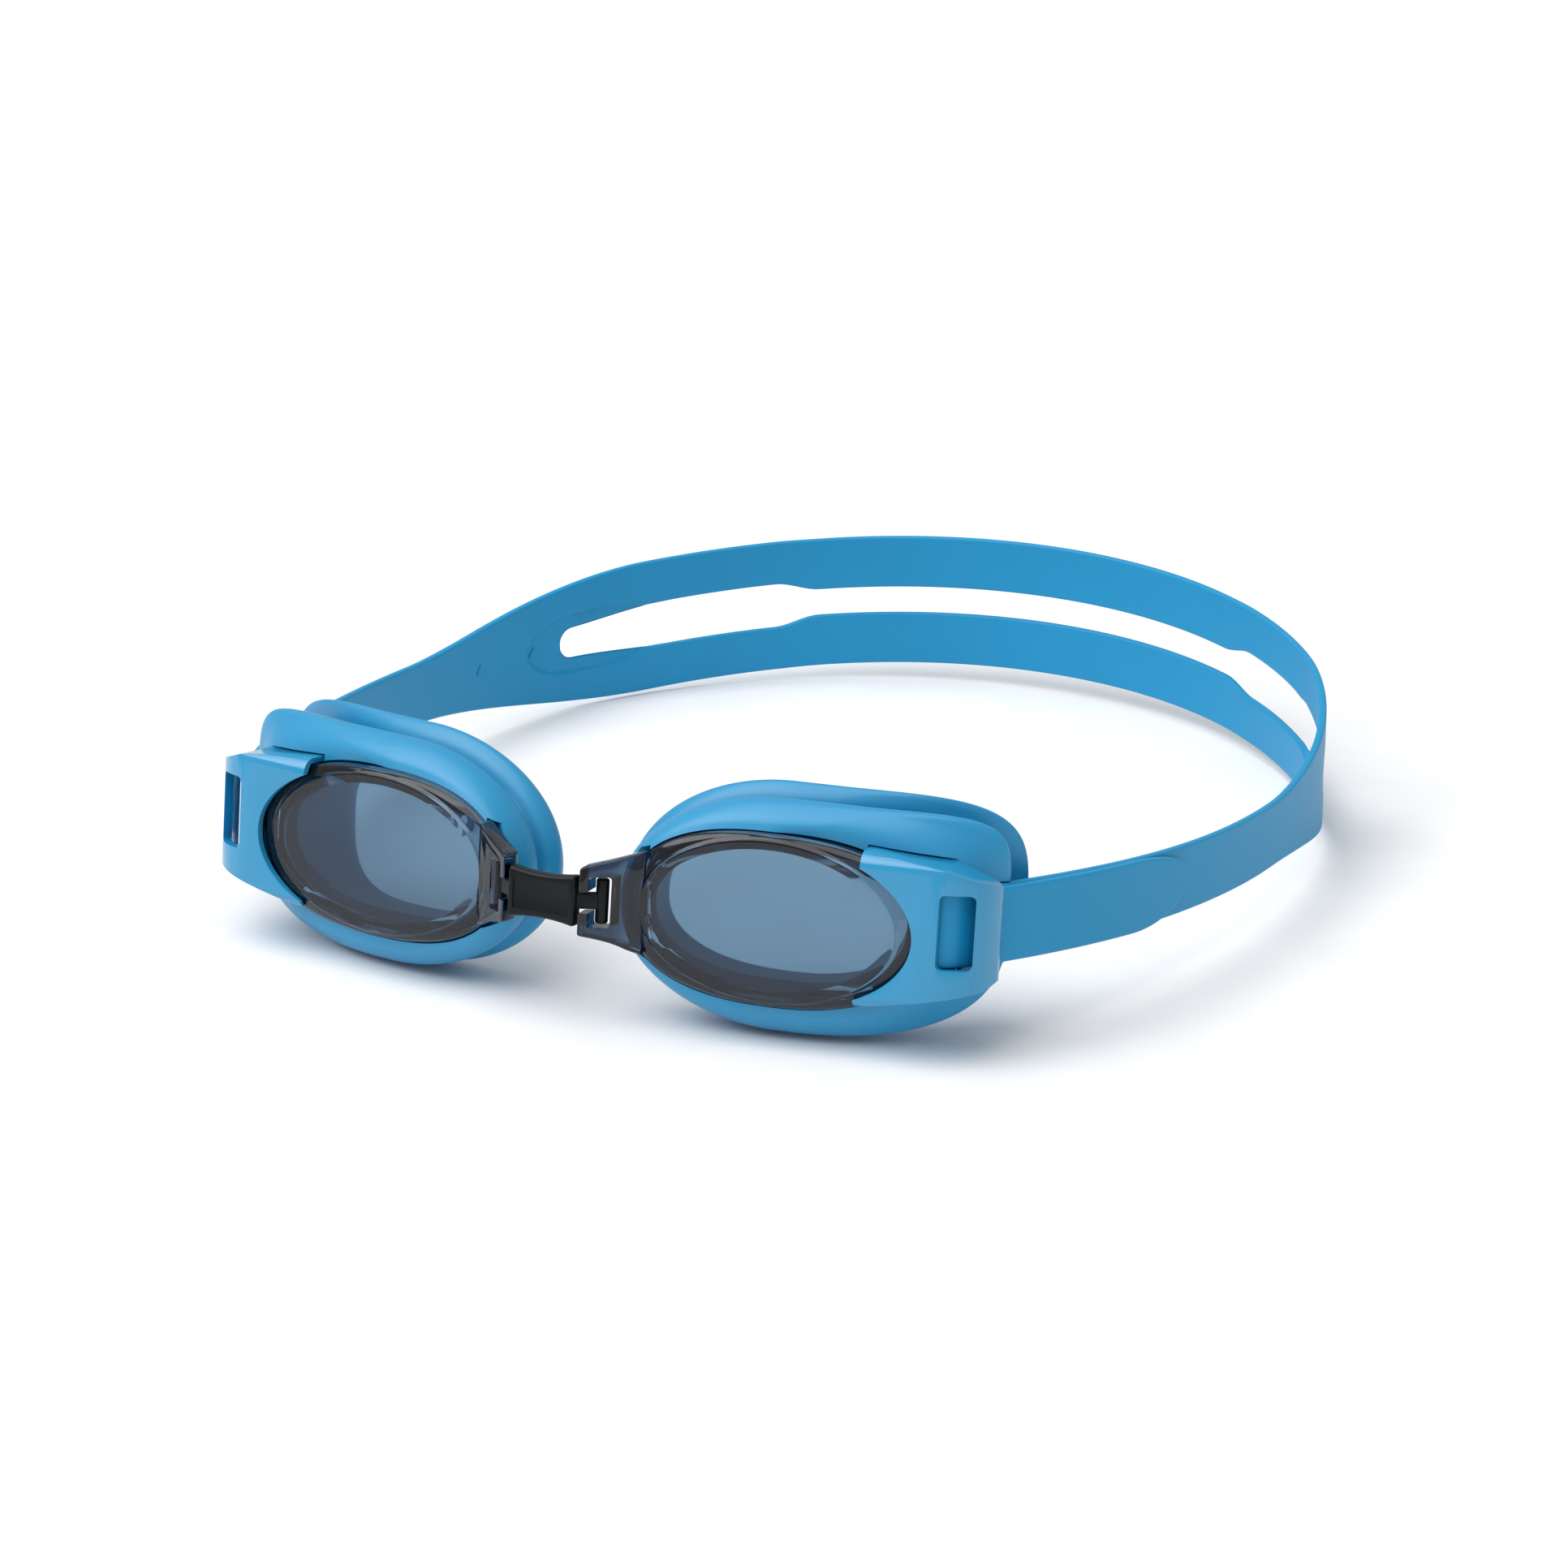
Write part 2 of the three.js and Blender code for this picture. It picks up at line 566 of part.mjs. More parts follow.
// The strap's line in plan, seen from above: three arcs that join smoothly and meet at the back.
const armShift = loopMiddleRadius - layerSpacing;
const pathStart = v3(
  barAt + outwardInCup.x * armShift,
  BAR_DEPTH + outwardInCup.y * armShift,
  STRAP_RISE,
).applyMatrix4(fromCup);
const arcs = strapArcs();
const HALF_STRAP = arcs.reduce((sum, arc) => sum + arc.length, 0);
const backY = arcs[2].y + arcs[2].radius * (1 + sin(arcs[2].from));

function strapArcs() {
  const made = [];
  let x = pathStart.x;
  let y = pathStart.y;
  const addArc = (from, to, radius) => {
    made.push({ x, y, from, radius, length: radius * (from - to) });
    x += radius * (cos(to) - cos(from));
    y += radius * (sin(from) - sin(to));
  };
  addArc(STRAP_HEADING, SIDE_END_HEADING, SIDE_RADIUS);
  addArc(SIDE_END_HEADING, BACK_CORNER_END_HEADING, BACK_CORNER_RADIUS);
  addArc(BACK_CORNER_END_HEADING, -PI / 2, x / cos(BACK_CORNER_END_HEADING));
  return made;
}

// The strap's middle line at a distance from the clip's bar. Past the back centre it runs on
// along the other side, so both bands are one piece from side to side.
function strapPlace(distance) {
  const other = distance > HALF_STRAP;
  let left = alongHalf(distance);
  let arc = arcs[0];
  for (const next of arcs.slice(1)) {
    if (left <= arc.length) break;
    left -= arc.length;
    arc = next;
  }
  const heading = arc.from - left / arc.radius;
  const x = arc.x + arc.radius * (cos(heading) - cos(arc.from));
  const y = arc.y + arc.radius * (sin(arc.from) - sin(heading));
  const towardDip = min(1, (y - pathStart.y) / (STRAP_DIP_AT - pathStart.y));
  const pastDip = max(0, (y - STRAP_DIP_AT) / (backY - STRAP_DIP_AT));
  const z = pathStart.z - STRAP_DIP * sin((PI / 2) * towardDip) + REAR_RISE * (1 - cos((PI / 2) * pastDip));
  const lean = FACE_LEAN * (1 - smoothstep(alongHalf(distance), 0, STRAP_WAIST_AT));
  const side = other ? -1 : 1;
  return {
    middle: v3(side * x, y, z),
    up: v3(0, sin(lean), cos(lean)),
    outward: v3(side * cos(heading), -sin(heading), 0),
  };
}

const fromBack = (distance) => abs(HALF_STRAP - distance);
const alongHalf = (distance) => min(distance, 2 * HALF_STRAP - distance);

// Half of the strap's full height, and half of the gap between its bands.
function halfHeight(distance) {
  const at = alongHalf(distance);
  const arm = lerp(STRAP_HEIGHT, STRAP_WAIST_HEIGHT, smoothstep(at, 0, STRAP_WAIST_AT));
  const bands = lerp(arm, BANDS_HEIGHT, smoothstep(at, SPREAD_START, SPREAD_END));
  return lerp(REAR_HEIGHT, bands, rearStep(distance)) / 2;
}

function rearStep(distance) {
  const edge = REAR_PAD_LENGTH / 2;
  return smoothstep(fromBack(distance), edge, edge + REAR_PAD_STEP);
}

function slotHalfHeight(distance) {
  const at = alongHalf(distance) - SLOT_START;
  if (at <= 0) return 0;
  const roundEnd = at < SLOT_END_RADIUS ? sqrt(1 - (1 - at / SLOT_END_RADIUS) ** 2) : 1;
  const widening = smoothstep(at, 0, SLOT_WIDEST_AT - SLOT_START);
  const open = lerp(SLOT_END_RADIUS, SLOT_HALF_HEIGHT, widening) * roundEnd;
  return lerp(REAR_SLOT_HALF_HEIGHT, open, rearStep(distance));
}

// A strip of strap between two distances. lower and upper give its edges above the middle line,
// shift moves it off the line, and thickness can differ from the strap's for cutting.
function strip(from, to, steps, lower, upper, shift = () => 0, thickness = STRAP_THICKNESS) {
  const corners = [[-1, 0], [1, 0], [1, 1], [-1, 1]];
  const point = (turn, step) => {
    const ring = Math.round(step * (steps + 2));
    const distance = lerp(from, to, THREE.MathUtils.clamp((ring - 1) / steps, 0, 1));
    const place = strapPlace(distance);
    const [low, high] = [lower(distance), upper(distance)];
    const isEnd = ring === 0 || ring === steps + 2;
    const [side, height] = isEnd ? [0, 0.5] : corners[Math.round(turn * 4) % 4];
    const out = shift(distance) + (side * thickness) / 2;
    return place.middle.clone()
      .addScaledVector(place.up, lerp(low, high, height))
      .addScaledVector(place.outward, out);
  };
  return lofted(point, 4, steps + 2);
}

const lowerEdge = (distance) => -halfHeight(distance);
const armBend = (distance) => {
  const apart = 2 * loopMiddleRadius - layerSpacing;
  return -apart * (1 - smoothstep(distance, ARM_START, CONVERGE_AT));
};

function armFront() {
  return strip(ARM_START, ARM_BREAK - RUNNING_GAP, 20, lowerEdge, halfHeight, armBend);
}

// The room that the strap needs past the pad, in the cup's own frame.
function strapRoom() {
  const high = (distance) => halfHeight(distance) + RUNNING_GAP;
  const low = (distance) => -high(distance);
  const arm = strip(-1, ARM_BREAK / 2, 12, low, high, armBend, STRAP_THICKNESS + 2 * RUNNING_GAP);
  return solidOf(geometryOf(arm).applyMatrix4(fromCup.clone().invert()));
}

function armRear() {
  return strip(ARM_BREAK, JUNCTION_START - RUNNING_GAP, 18, lowerEdge, halfHeight);
}

// Where the arm splits: one strip, less the rounded end of the slot between the bands.
function junction() {
  const slotLower = (distance) => -max(slotHalfHeight(distance), 0.01);
  const slotUpper = (distance) => max(slotHalfHeight(distance), 0.01);
  const whole = strip(JUNCTION_START, JUNCTION_END - RUNNING_GAP, 24, lowerEdge, halfHeight);
  const slot = strip(SLOT_START, JUNCTION_END + 1, 24, slotLower, slotUpper, () => 0, STRAP_THICKNESS * 3);
  return whole.subtract(slot);
}

function upperBand() {
  return strip(JUNCTION_END, 2 * HALF_STRAP - JUNCTION_END, 72, slotHalfHeight, halfHeight);
}

function lowerBand() {
  const slotLower = (distance) => -slotHalfHeight(distance);
  return strip(JUNCTION_END, 2 * HALF_STRAP - JUNCTION_END, 72, lowerEdge, slotLower);
}

// The loose end, which comes back out of the clip and lies along the outside of the arm.
function tail() {
  const tip = (distance) => {
    const left = max(0, TAIL_END - distance) / TAIL_TAPER;
    return left >= 1 ? 1 : sqrt(1 - (1 - left) ** 2);
  };
  const half = (distance) => lerp(STRAP_HEIGHT, TAIL_HEIGHT, smoothstep(distance, 0, TAIL_END)) / 2;
  const upper = (distance) => half(distance) * lerp(TAIL_TIP_TOP, 1, tip(distance));
  const lower = (distance) => half(distance) * lerp(TAIL_TIP_BOTTOM, -1, tip(distance));
  return strip(ARM_START, TAIL_END, 24, lower, upper, () => layerSpacing);
}

// -------------------------------------------------------------------------------------- nose bridge

function noseBridge() {
  const barInFace = v3(-hookBarAt, hookBarDepth, HOOK_RISE).applyMatrix4(cupPlace);
  const tipInFace = v3(-socketTip, socketFront(socketTip), HOOK_RISE).applyMatrix4(cupPlace);
  const halfLength = BELT_LENGTH / 2;
  const front = tipInFace.y;
  const back = front + BELT_THICKNESS;
  const shape = new THREE.Shape();
  const end = BELT_HEIGHT_ENDS / 2;
  const waist = BELT_HEIGHT_MIDDLE - end; // control height that brings the curve to the middle height
  shape.moveTo(-halfLength, HOOK_RISE - end);
  shape.quadraticCurveTo(0, HOOK_RISE - waist, halfLength, HOOK_RISE - end);
  shape.lineTo(halfLength, HOOK_RISE + end);
  shape.quadraticCurveTo(0, HOOK_RISE + waist, -halfLength, HOOK_RISE + end);
  const inset = BELT_PANEL_INSET;
  const panel = box(
    -halfLength + inset, halfLength - inset,
    front - 1, front + BELT_PANEL_DEPTH,
    HOOK_RISE - BELT_HEIGHT_MIDDLE / 2 + inset, HOOK_RISE + BELT_HEIGHT_MIDDLE / 2 - inset,
  );
  let bridge = pushedBack(shape.getPoints(10), front, back).subtract(panel);
  for (const side of [-1, 1]) {
    bridge = bridge.add(uprightRod(side * barInFace.x, barInFace.y, HOOK_RISE, HOOK_BAR_RADIUS, HOOK_BAR_LENGTH));
    bridge = bridge.add(hookNeck(side, halfLength - 1, (front + back) / 2, barInFace));
  }
  return bridge;
}

// The flat neck that joins the belt to a hook bar and passes between the socket's lips.
function hookNeck(side, fromX, fromY, bar) {
  const half = HOOK_NECK_THICKNESS / 2;
  const outline = [
    v2(side * fromX, fromY - half),
    v2(side * bar.x, bar.y - half),
    v2(side * bar.x, bar.y + half),
    v2(side * fromX, fromY + half),
  ];
  const low = HOOK_RISE - HOOK_NECK_HEIGHT / 2;
  return raised(outline, low, low + HOOK_NECK_HEIGHT);
}

// ------------------------------------------------------------------------------------------ assembly

const MATERIALS = {
  lens: { color: 0x4b5569, roughness: 0.1, metalness: 0 },
  pad: { color: 0x3f95cf, roughness: 0.45, metalness: 0 },
  clip: { color: 0x4ba4d8, roughness: 0.25, metalness: 0 },
  strap: { color: 0x3a86bf, roughness: 0.5, metalness: 0 },
  bridge: { color: 0x23262a, roughness: 0.35, metalness: 0 },
};

function named(name, geometry, material) {
  const mesh = new THREE.Mesh(geometry, new THREE.MeshStandardMaterial(MATERIALS[material]));
  mesh.name = name;
  return mesh;
}

const cupPieces = [
  ['lens', geometryOf(lens()), 'lens'],
  ['pad', geometryOf(pad()), 'pad'],
  ['clip', geometryOf(sideClip()), 'clip'],
  ['strap_loop', geometryOf(strapLoop()), 'strap'],
];
const strapPieces = [
  ['arm_front', geometryOf(armFront()), 'strap'],
  ['arm_rear', geometryOf(armRear()), 'strap'],
  ['strap_tail', geometryOf(tail()), 'strap'],
  ['strap_junction', geometryOf(junction()), 'strap'],
];

const goggles = new THREE.Group();
const face = new THREE.Group();
face.rotation.x = -FACE_LEAN;
face.add(named('nose_bridge', geometryOf(noseBridge()), 'bridge'));
goggles.add(face);

for (const [sideName, side] of [['left', 1], ['right', -1]]) {
  const facing = (geometry) => (side > 0 ? geometry : mirrored(geometry));
  const cup = new THREE.Group();
  cup.position.x = side * lensMiddle;
  cup.rotation.z = side * LENS_WRAP;
  for (const [name, geometry, material] of cupPieces) {
    cup.add(named(`${sideName}_${name}`, facing(geometry), material));
  }
  face.add(cup);
  for (const [name, geometry, material] of strapPieces) {
    goggles.add(named(`${sideName}_${name}`, facing(geometry), material));
  }
}
goggles.add(named('upper_band', geometryOf(upperBand()), 'strap'));
goggles.add(named('lower_band', geometryOf(lowerBand()), 'strap'));

// The origin moves to the bottom centre of the whole model.
const model = new THREE.Group();
model.add(goggles);
model.updateMatrixWorld(true);
const bounds = new THREE.Box3().setFromObject(model, true);
const middle = bounds.getCenter(new THREE.Vector3());
goggles.position.set(-middle.x, -middle.y, -bounds.min.z);

export default model;
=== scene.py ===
"""Swim goggles: the looks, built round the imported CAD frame. Metres, +Z up, the wearer looks along -Y."""
import json
from math import cos, hypot, pi, radians, sin, sqrt, tan

import bmesh
import bpy
from bpy.props import FloatProperty, FloatVectorProperty, IntProperty, PointerProperty
from mathutils import Matrix, Vector


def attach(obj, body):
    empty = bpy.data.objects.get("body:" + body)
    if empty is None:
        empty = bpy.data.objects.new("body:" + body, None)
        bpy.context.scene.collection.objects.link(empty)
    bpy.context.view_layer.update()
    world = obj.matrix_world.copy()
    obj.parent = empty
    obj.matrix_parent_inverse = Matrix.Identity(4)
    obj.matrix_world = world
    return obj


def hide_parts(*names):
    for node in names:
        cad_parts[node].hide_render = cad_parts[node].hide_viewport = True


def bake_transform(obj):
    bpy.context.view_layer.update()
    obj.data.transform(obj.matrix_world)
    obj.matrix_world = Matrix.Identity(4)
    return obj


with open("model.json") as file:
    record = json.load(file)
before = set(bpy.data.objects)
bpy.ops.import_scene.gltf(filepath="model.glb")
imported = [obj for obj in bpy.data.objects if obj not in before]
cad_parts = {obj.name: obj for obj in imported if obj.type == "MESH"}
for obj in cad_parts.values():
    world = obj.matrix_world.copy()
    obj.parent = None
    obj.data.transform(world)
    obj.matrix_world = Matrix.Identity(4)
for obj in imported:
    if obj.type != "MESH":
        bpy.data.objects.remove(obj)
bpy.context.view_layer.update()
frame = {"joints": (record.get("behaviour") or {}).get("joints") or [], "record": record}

bl_info = {
    "name": "Swim goggles",
    "version": (1, 0, 0),
    "blender": (4, 5, 0),
    "location": "3D View > Sidebar > Goggles",
    "description": "Lens cups, soft pads, hooked nose bridge, side clips and a split head strap",
    "category": "Object",
}

MM = 0.001
JOINTS = {joint["name"]: joint for joint in frame["joints"]}
MOUNTS = {mount["name"]: mount for mount in frame["record"]["mounts"]}
SIDES = ("left", "right")

# ------------ sizes that the CAD model gives, in mm and radians

GAP = 0.3
LEAN = radians(6.7)
WINDOW = (22.2, 13.6)
WINDOW_STEP = 0.6
LENS_THICKNESS = 1.8
WALL = {"temple": 26.4, "nose": 24.8, "top": 14.4, "bottom": 14.6, "power": 2.4}
WALL_FRONT = 1.6
WALL_BACK = 7.2
BEAD = {"temple": 37.2, "nose": 27.8, "top": 19.4, "bottom": 20.0, "power": 2.0, "upper": 7.0, "lower": 2.6}
LIP = {"temple": 37.6, "nose": 28.8, "top": 21.0, "bottom": 20.4, "power": 2.0, "upper": 4.4, "lower": 1.9}
BEAD_DEPTH, BEAD_SWEEP, BEAD_RADIUS = 7.6, 7.0, 3.0
LIP_DEPTH, LIP_SWEEP, LIP_THICKNESS, LIP_OVERHANG = 14.0, 10.5, 2.6, 3.2
SEAT_SWEEP, SEAT_STEP = 3.4, 0.6
SOCKET_LEAN = radians(30)
SOCKET_ROOT, SOCKET_TIP, SOCKET_THICKNESS = 21.4, 31.0, 3.4
SOCKET_TOP, SOCKET_BOTTOM, SOCKET_PROUD = 6.2, 5.4, 1.2
SOCKET_WINGS = (16.1, 11.5, 11.1)  # where its edges meet the shoulder: across, up and down
HOOK_BAR_AT, HOOK_BAR_RADIUS, HOOK_BAR_LENGTH, HOOK_RISE = 28.0, 1.1, 7.6, 0.3
HOOK_PLAY = 0.5
NECK_HEIGHT, NECK_THICKNESS = 2.8, 1.6
BELT_LENGTH, BELT_THICKNESS = 12.6, 2.6
BELT_HEIGHT_ENDS, BELT_HEIGHT_MIDDLE = 8.8, 7.5
STRAP_THICKNESS = 1.4
STRAP_HEIGHT, STRAP_WAIST_HEIGHT, STRAP_WAIST_AT = 12.8, 11.8, 80.0
BAR_RADIUS = 0.9
STRAP_HEADING, SIDE_END, CORNER_END = radians(27), radians(-8), radians(-52)
SIDE_RADIUS, CORNER_RADIUS = 190.0, 92.5
SPREAD_START, SPREAD_END, BANDS_HEIGHT = 92.0, 160.0, 26.4
SLOT_START, SLOT_END_RADIUS, SLOT_HALF, SLOT_WIDEST_AT = 139.0, 3.0, 4.5, 166.0
REAR_LENGTH, REAR_STEP, REAR_SLOT_HALF, REAR_HEIGHT = 92.0, 9.0, 2.7, 26.2
STRAP_DIP, STRAP_DIP_AT, REAR_RISE = 9.4, 140.0, 3.6
ARM_START, ARM_BREAK, JUNCTION_START, JUNCTION_END = 1.5, 60.0, 104.0, 150.0
CONVERGE_AT, TAIL_END, TAIL_HEIGHT, TAIL_TAPER = 8.0, 56.0, 12.6, 16.0
STRAP_RISE, LOOP_HEADING = 2.1, radians(35)
BAR_IN_CUP = (30.5, 5.2)
CLIP_WALL, CLIP_FRONT, CLIP_BACK = 1.2, -0.6, 8.4
CLIP_REACH, CLIP_TIP, CLIP_KNEE, CLIP_KNEE_DROP = 37.8, 15.6, 30.0, 1.4
CLIP_TOP, CLIP_BOTTOM, CLIP_REAR_TOP, CLIP_REAR_BOTTOM = 13.8, 12.5, 10.1, 7.9
CLIP_ROUND, CLIP_CORNER, CLIP_SHOULDER = 2.6, 1.2, 0.6
CLIP_CURVE_SIDE, CLIP_CURVE_END = (1.5, 2.4), 1.2  # the plan's curve: in from the side and back, then its end
CLIP_RIM, CLIP_WINDOW, CLIP_WINDOW_OFFSET = (2.9, 0.6), (5.6, 12.6), 1.6
BELT_PANEL_INSET, BELT_PANEL_DEPTH = 1.1, 0.3
FAR = 40.0

# ------------ sizes of the finer details, in mm

PAD_WAIST = 0.3  # how far the groove stands out from the seat, as a share of the bead
BEHIND_HOOK_ROOM = 0.7
SOCKET_SAG = 0.5
EDGE_TURN = ((-1.0, 0.0), (-0.3, 0.1), (0.0, 0.45))  # the window edge's rounding: outward and back, as shares
SHOULDER_SHARES, SHOULDER_SWELL = (0.3, 0.6, 0.85), 1.5
WINDOW_RING, WALL_ROUND = 0.4, 0.3
CLIP_BEND = ((0.75, 0.7), (0.3, 0.36))  # the top edge's bend before and after its knee, as shares
CLIP_WINDOW_ROUND, BAR_ROUND, HOOK_BAR_ROUND, NECK_ROUND, PANEL_ROUND = 1.0, 0.1, 0.4, 0.3, 0.15
SOCKET_WINDOW_ROUND, SOCKET_GAP_ROUND = 0.5, 0.3
RIM_WIDTH, RIM_LENGTH, RIM_DEPTH = 3.0, 9.0, 0.45
RIM_FADE, RIM_EDGE = (8.0, 26.0), (-0.35, 0.05)
TAIL_TIP_TOP, TAIL_TIP_BOTTOM = 0.35, 0.25  # where the slanted tip ends, as shares of the tail's half height
MARKS_AT, MARK_SIZE, MARK_BASE = (116.0, 132.0), 1.2, 0.6
MARK_SUNK, MARK_HEIGHT, MARK_ROUND = 0.1, 0.35, 0.08
FINE_BEFORE_SLOT = 12.0  # the strap is cut finer over this length
LOOP_REACH = 3.7  # how far the strap stands forward of its bar, into the clip's window
GIVE_START = 74.0  # a place on the arm's rear half, past where the tail can reach

# ------------ looks, light and camera

WELD, SMOOTH_ANGLE = 0.002, radians(35)
SHADE_SCALE, SHADE_RANGE, GLOSS_CHANGE = 45.0, (0.94, 1.06), 0.1
GRAIN_SCALE, GRAIN_DEPTH = 2500.0, 0.0001
COAT_ROUGHNESS = 0.12
LENS_ROUGHNESS, LENS_IOR = 0.03, 1.5
# painted shade on the lens shoulder: how dark it is, and where it starts past the window
SHOULDER_PAINTED_SHADE, SHOULDER_PAINTED_SHADE_START = 0.4, 0.985
SUN_SPREAD, LAMP_SIZE = radians(70), 0.6
SUN_PLACE, SUN_POWER = (-0.3, -0.35, 1.0), 2.2
LAMP_PLACE, LAMP_POWER = (-0.45, -0.5, 0.8), 2.0
WORLD_STRENGTH, FLOOR_SIZE, FLOOR_ROUGHNESS = 0.5, 40, 0.8

# The camera: degrees round and above the object, mm from the middle between the lenses
CAMERA_TURN, CAMERA_HEIGHT, CAMERA_LEVEL = 26.137, 19.279, 0.8
CAMERA_OFFSET = (36.2058, 17.2712, 900.0)
CAMERA_LENS = 123.86

# ------------ small helpers


def lerp(a, b, share):
    return a + (b - a) * share


def smoothstep(x, low, high):
    share = min(1.0, max(0.0, (x - low) / (high - low)))
    return share * share * (3 - 2 * share)


def signed_power(value, power):
    return abs(value) ** power * (1 if value >= 0 else -1)


def outline(turn, reach):
    """A rounded outline in the cup's frame: turn 0 is the temple, 0.25 the top, 0.5 the nose."""
    c, s = cos(2 * pi * turn), sin(2 * pi * turn)
    corner = reach.get("upper" if s > 0 else "lower", reach["power"])
    power = 2 / (corner if c > 0 else reach["power"])
    x = signed_power(c, power) * reach["temple" if c > 0 else "nose"]
    z = signed_power(s, power) * reach["top" if s > 0 else "bottom"]
    return x, z


def drawn_in(reach, by):
    """The outline with the same power, smaller by this much on every side."""
    smaller = {side: reach[side] - by for side in ("temple", "nose", "top", "bottom")}
    return {**smaller, "power": reach["power"]}


def oval(reach, rise):
    return {"temple": reach, "nose": reach, "top": rise, "bottom": rise, "power": 2.0}


def swept(x, reach, whole):
    return whole * (max(0.0, x) / reach) ** 2


def mixed(first, second, share):
    """An outline between two others."""
    return {key: lerp(first[key], second[key], share) for key in ("temple", "nose", "top", "bottom", "power")}


def spaced(begin, end, count):
    return [lerp(begin, end, i / count) for i in range(count + 1)]


def smooth_section(points, each, straight_from):
    """A closed smooth curve through the points. Its stretches from one index to the end are straight."""
    count = len(points)
    slopes = []
    for i in range(count):
        before = points[i] - points[i - 1]
        after = points[(i + 1) % count] - points[i]
        whole = before.length + after.length
        slope = before * (after.length / before.length) + after * (before.length / after.length)
        slopes.append(slope / whole)
    made = []
    for i in range(count):
        start, end = points[i], points[(i + 1) % count]
        run = end - start
        leave = run if i == 0 else slopes[i] * run.length
        arrive = run if i == straight_from - 1 else slopes[(i + 1) % count] * run.length
        for k in range(each):
            t = k / each
            if i >= straight_from:
                made.append(start.lerp(end, t))
            else:
                from_start = start * (2 * t**3 - 3 * t**2 + 1) + leave * (t**3 - 2 * t**2 + t)
                made.append(from_start + end * (3 * t**2 - 2 * t**3) + arrive * (t**3 - t**2))
    return made


def cup_matrix():
    """The left cup's frame: x runs outward, y back, z up, from the middle of the lens front, in mm."""
    mount = MOUNTS["left_lens_front"]
    back = -Vector(mount["axis"]).normalized()
    up = Vector(JOINTS["left_hook"]["axis"]).normalized()
    across = back.cross(up).normalized()
    matrix = Matrix((across, back, up)).transposed().to_4x4()
    matrix.translation = Vector(mount["pos_m"]) / MM
    return matrix


CUP = cup_matrix()
FACE = Matrix.Rotation(-LEAN, 4, "X")
FACE.translation = Vector((0, CUP.translation.y, CUP.translation.z))

# ------------ mesh making


def weld(bm):
    bmesh.ops.remove_doubles(bm, verts=bm.verts, dist=WELD)
    bmesh.ops.dissolve_degenerate(bm, dist=WELD / 2, edges=bm.edges)
    bmesh.ops.recalc_face_normals(bm, faces=bm.faces)


def loft(rings, caps=False, closed=False, skipped=None):
    """A surface through rings of points. caps closes its ends, and closed joins the last to the first.
    skipped(place in the ring, ring) says which faces are left open."""
    around = len(rings[0])
    if caps:
        middles = [sum(ring, Vector()) / around for ring in (rings[0], rings[-1])]
        rings = [[middles[0]] * around, *rings, [middles[1]] * around]
    if closed:
        rings = [*rings, rings[0]]
    along = len(rings) - 1
    bm = bmesh.new()
    bmesh.ops.create_grid(bm, x_segments=around, y_segments=along, size=0.5)
    if skipped:
        first = 1 if caps else 0
        open_faces = []
        for face in bm.faces:
            middle = face.calc_center_median()
            place, ring = int((middle.x + 0.5) * around), int((middle.y + 0.5) * along) - first
            if skipped(place, ring):
                open_faces.append(face)
        bmesh.ops.delete(bm, geom=open_faces, context="FACES_ONLY")
    for vertex in bm.verts:
        place = round((vertex.co.x + 0.5) * around) % around
        vertex.co = rings[round((vertex.co.y + 0.5) * along)][place]
    weld(bm)
    return bm


def pushed(corners, along):
    """A flat outline of points, pushed along a vector into a solid."""
    bm = bmesh.new()
    face = bm.faces.new([bm.verts.new(corner) for corner in corners])
    made = bmesh.ops.extrude_face_region(bm, geom=[face])
    for item in made["geom"]:
        if isinstance(item, bmesh.types.BMVert):
            item.co += Vector(along)
    bmesh.ops.recalc_face_normals(bm, faces=bm.faces)
    return bm


def block(low, high):
    """A box between two corners."""
    bm = bmesh.new()
    bmesh.ops.create_cube(bm, size=1)
    low, high = Vector(low), Vector(high)
    bmesh.ops.scale(bm, vec=high - low, verts=bm.verts)
    bmesh.ops.translate(bm, vec=(low + high) / 2, verts=bm.verts)
    return bm


def rod(centre, radius, length, rounding):
    """An upright round bar with rounded ends."""
    bm = bmesh.new()
    bmesh.ops.create_cone(
        bm, cap_ends=True, segments=32, radius1=radius, radius2=radius, depth=length,
    )
    rounded(bm, rounding, 3, radians(60))
    bmesh.ops.translate(bm, vec=centre, verts=bm.verts)
    return bm


def rounded(bm, width, segments, least=radians(30)):
    """Rounds every edge that turns by more than the least angle."""
    edges = [edge for edge in bm.edges if edge.is_manifold and edge.calc_face_angle(0.0) > least]
    bmesh.ops.bevel(
        bm, geom=edges, offset=width, offset_type="OFFSET", segments=segments,
        profile=0.5, affect="EDGES", clamp_overlap=True, material=-1,
    )
    return bm


def mirrored(bm):
    """A mirrored copy, for the right side."""
    other = bm.copy()
    bmesh.ops.scale(other, vec=(-1, 1, 1), verts=other.verts)
    bmesh.ops.reverse_faces(other, faces=other.faces)
    return other


def placed(bm, matrix):
    bmesh.ops.transform(bm, matrix=matrix, verts=bm.verts)
    return bm


def mesh_from(name, bm):
    mesh = bpy.data.meshes.new(name)
    bm.to_mesh(mesh)
    bm.free()
    return mesh


def linked(name, data):
    """A new object in the scene."""
    made = bpy.data.objects.new(name, data)
    bpy.context.scene.collection.objects.link(made)
    return made


def piece(name, bm, material):
    """A finished object at the origin, made from a bmesh in millimetres."""
    bmesh.ops.scale(bm, vec=(MM, MM, MM), verts=bm.verts)
    mesh = mesh_from(name, bm)
    mesh.polygons.foreach_set("use_smooth", [True] * len(mesh.polygons))
    mesh.set_sharp_from_angle(angle=SMOOTH_ANGLE)
    mesh.materials.append(material)
    made = linked(name, mesh)
    return made


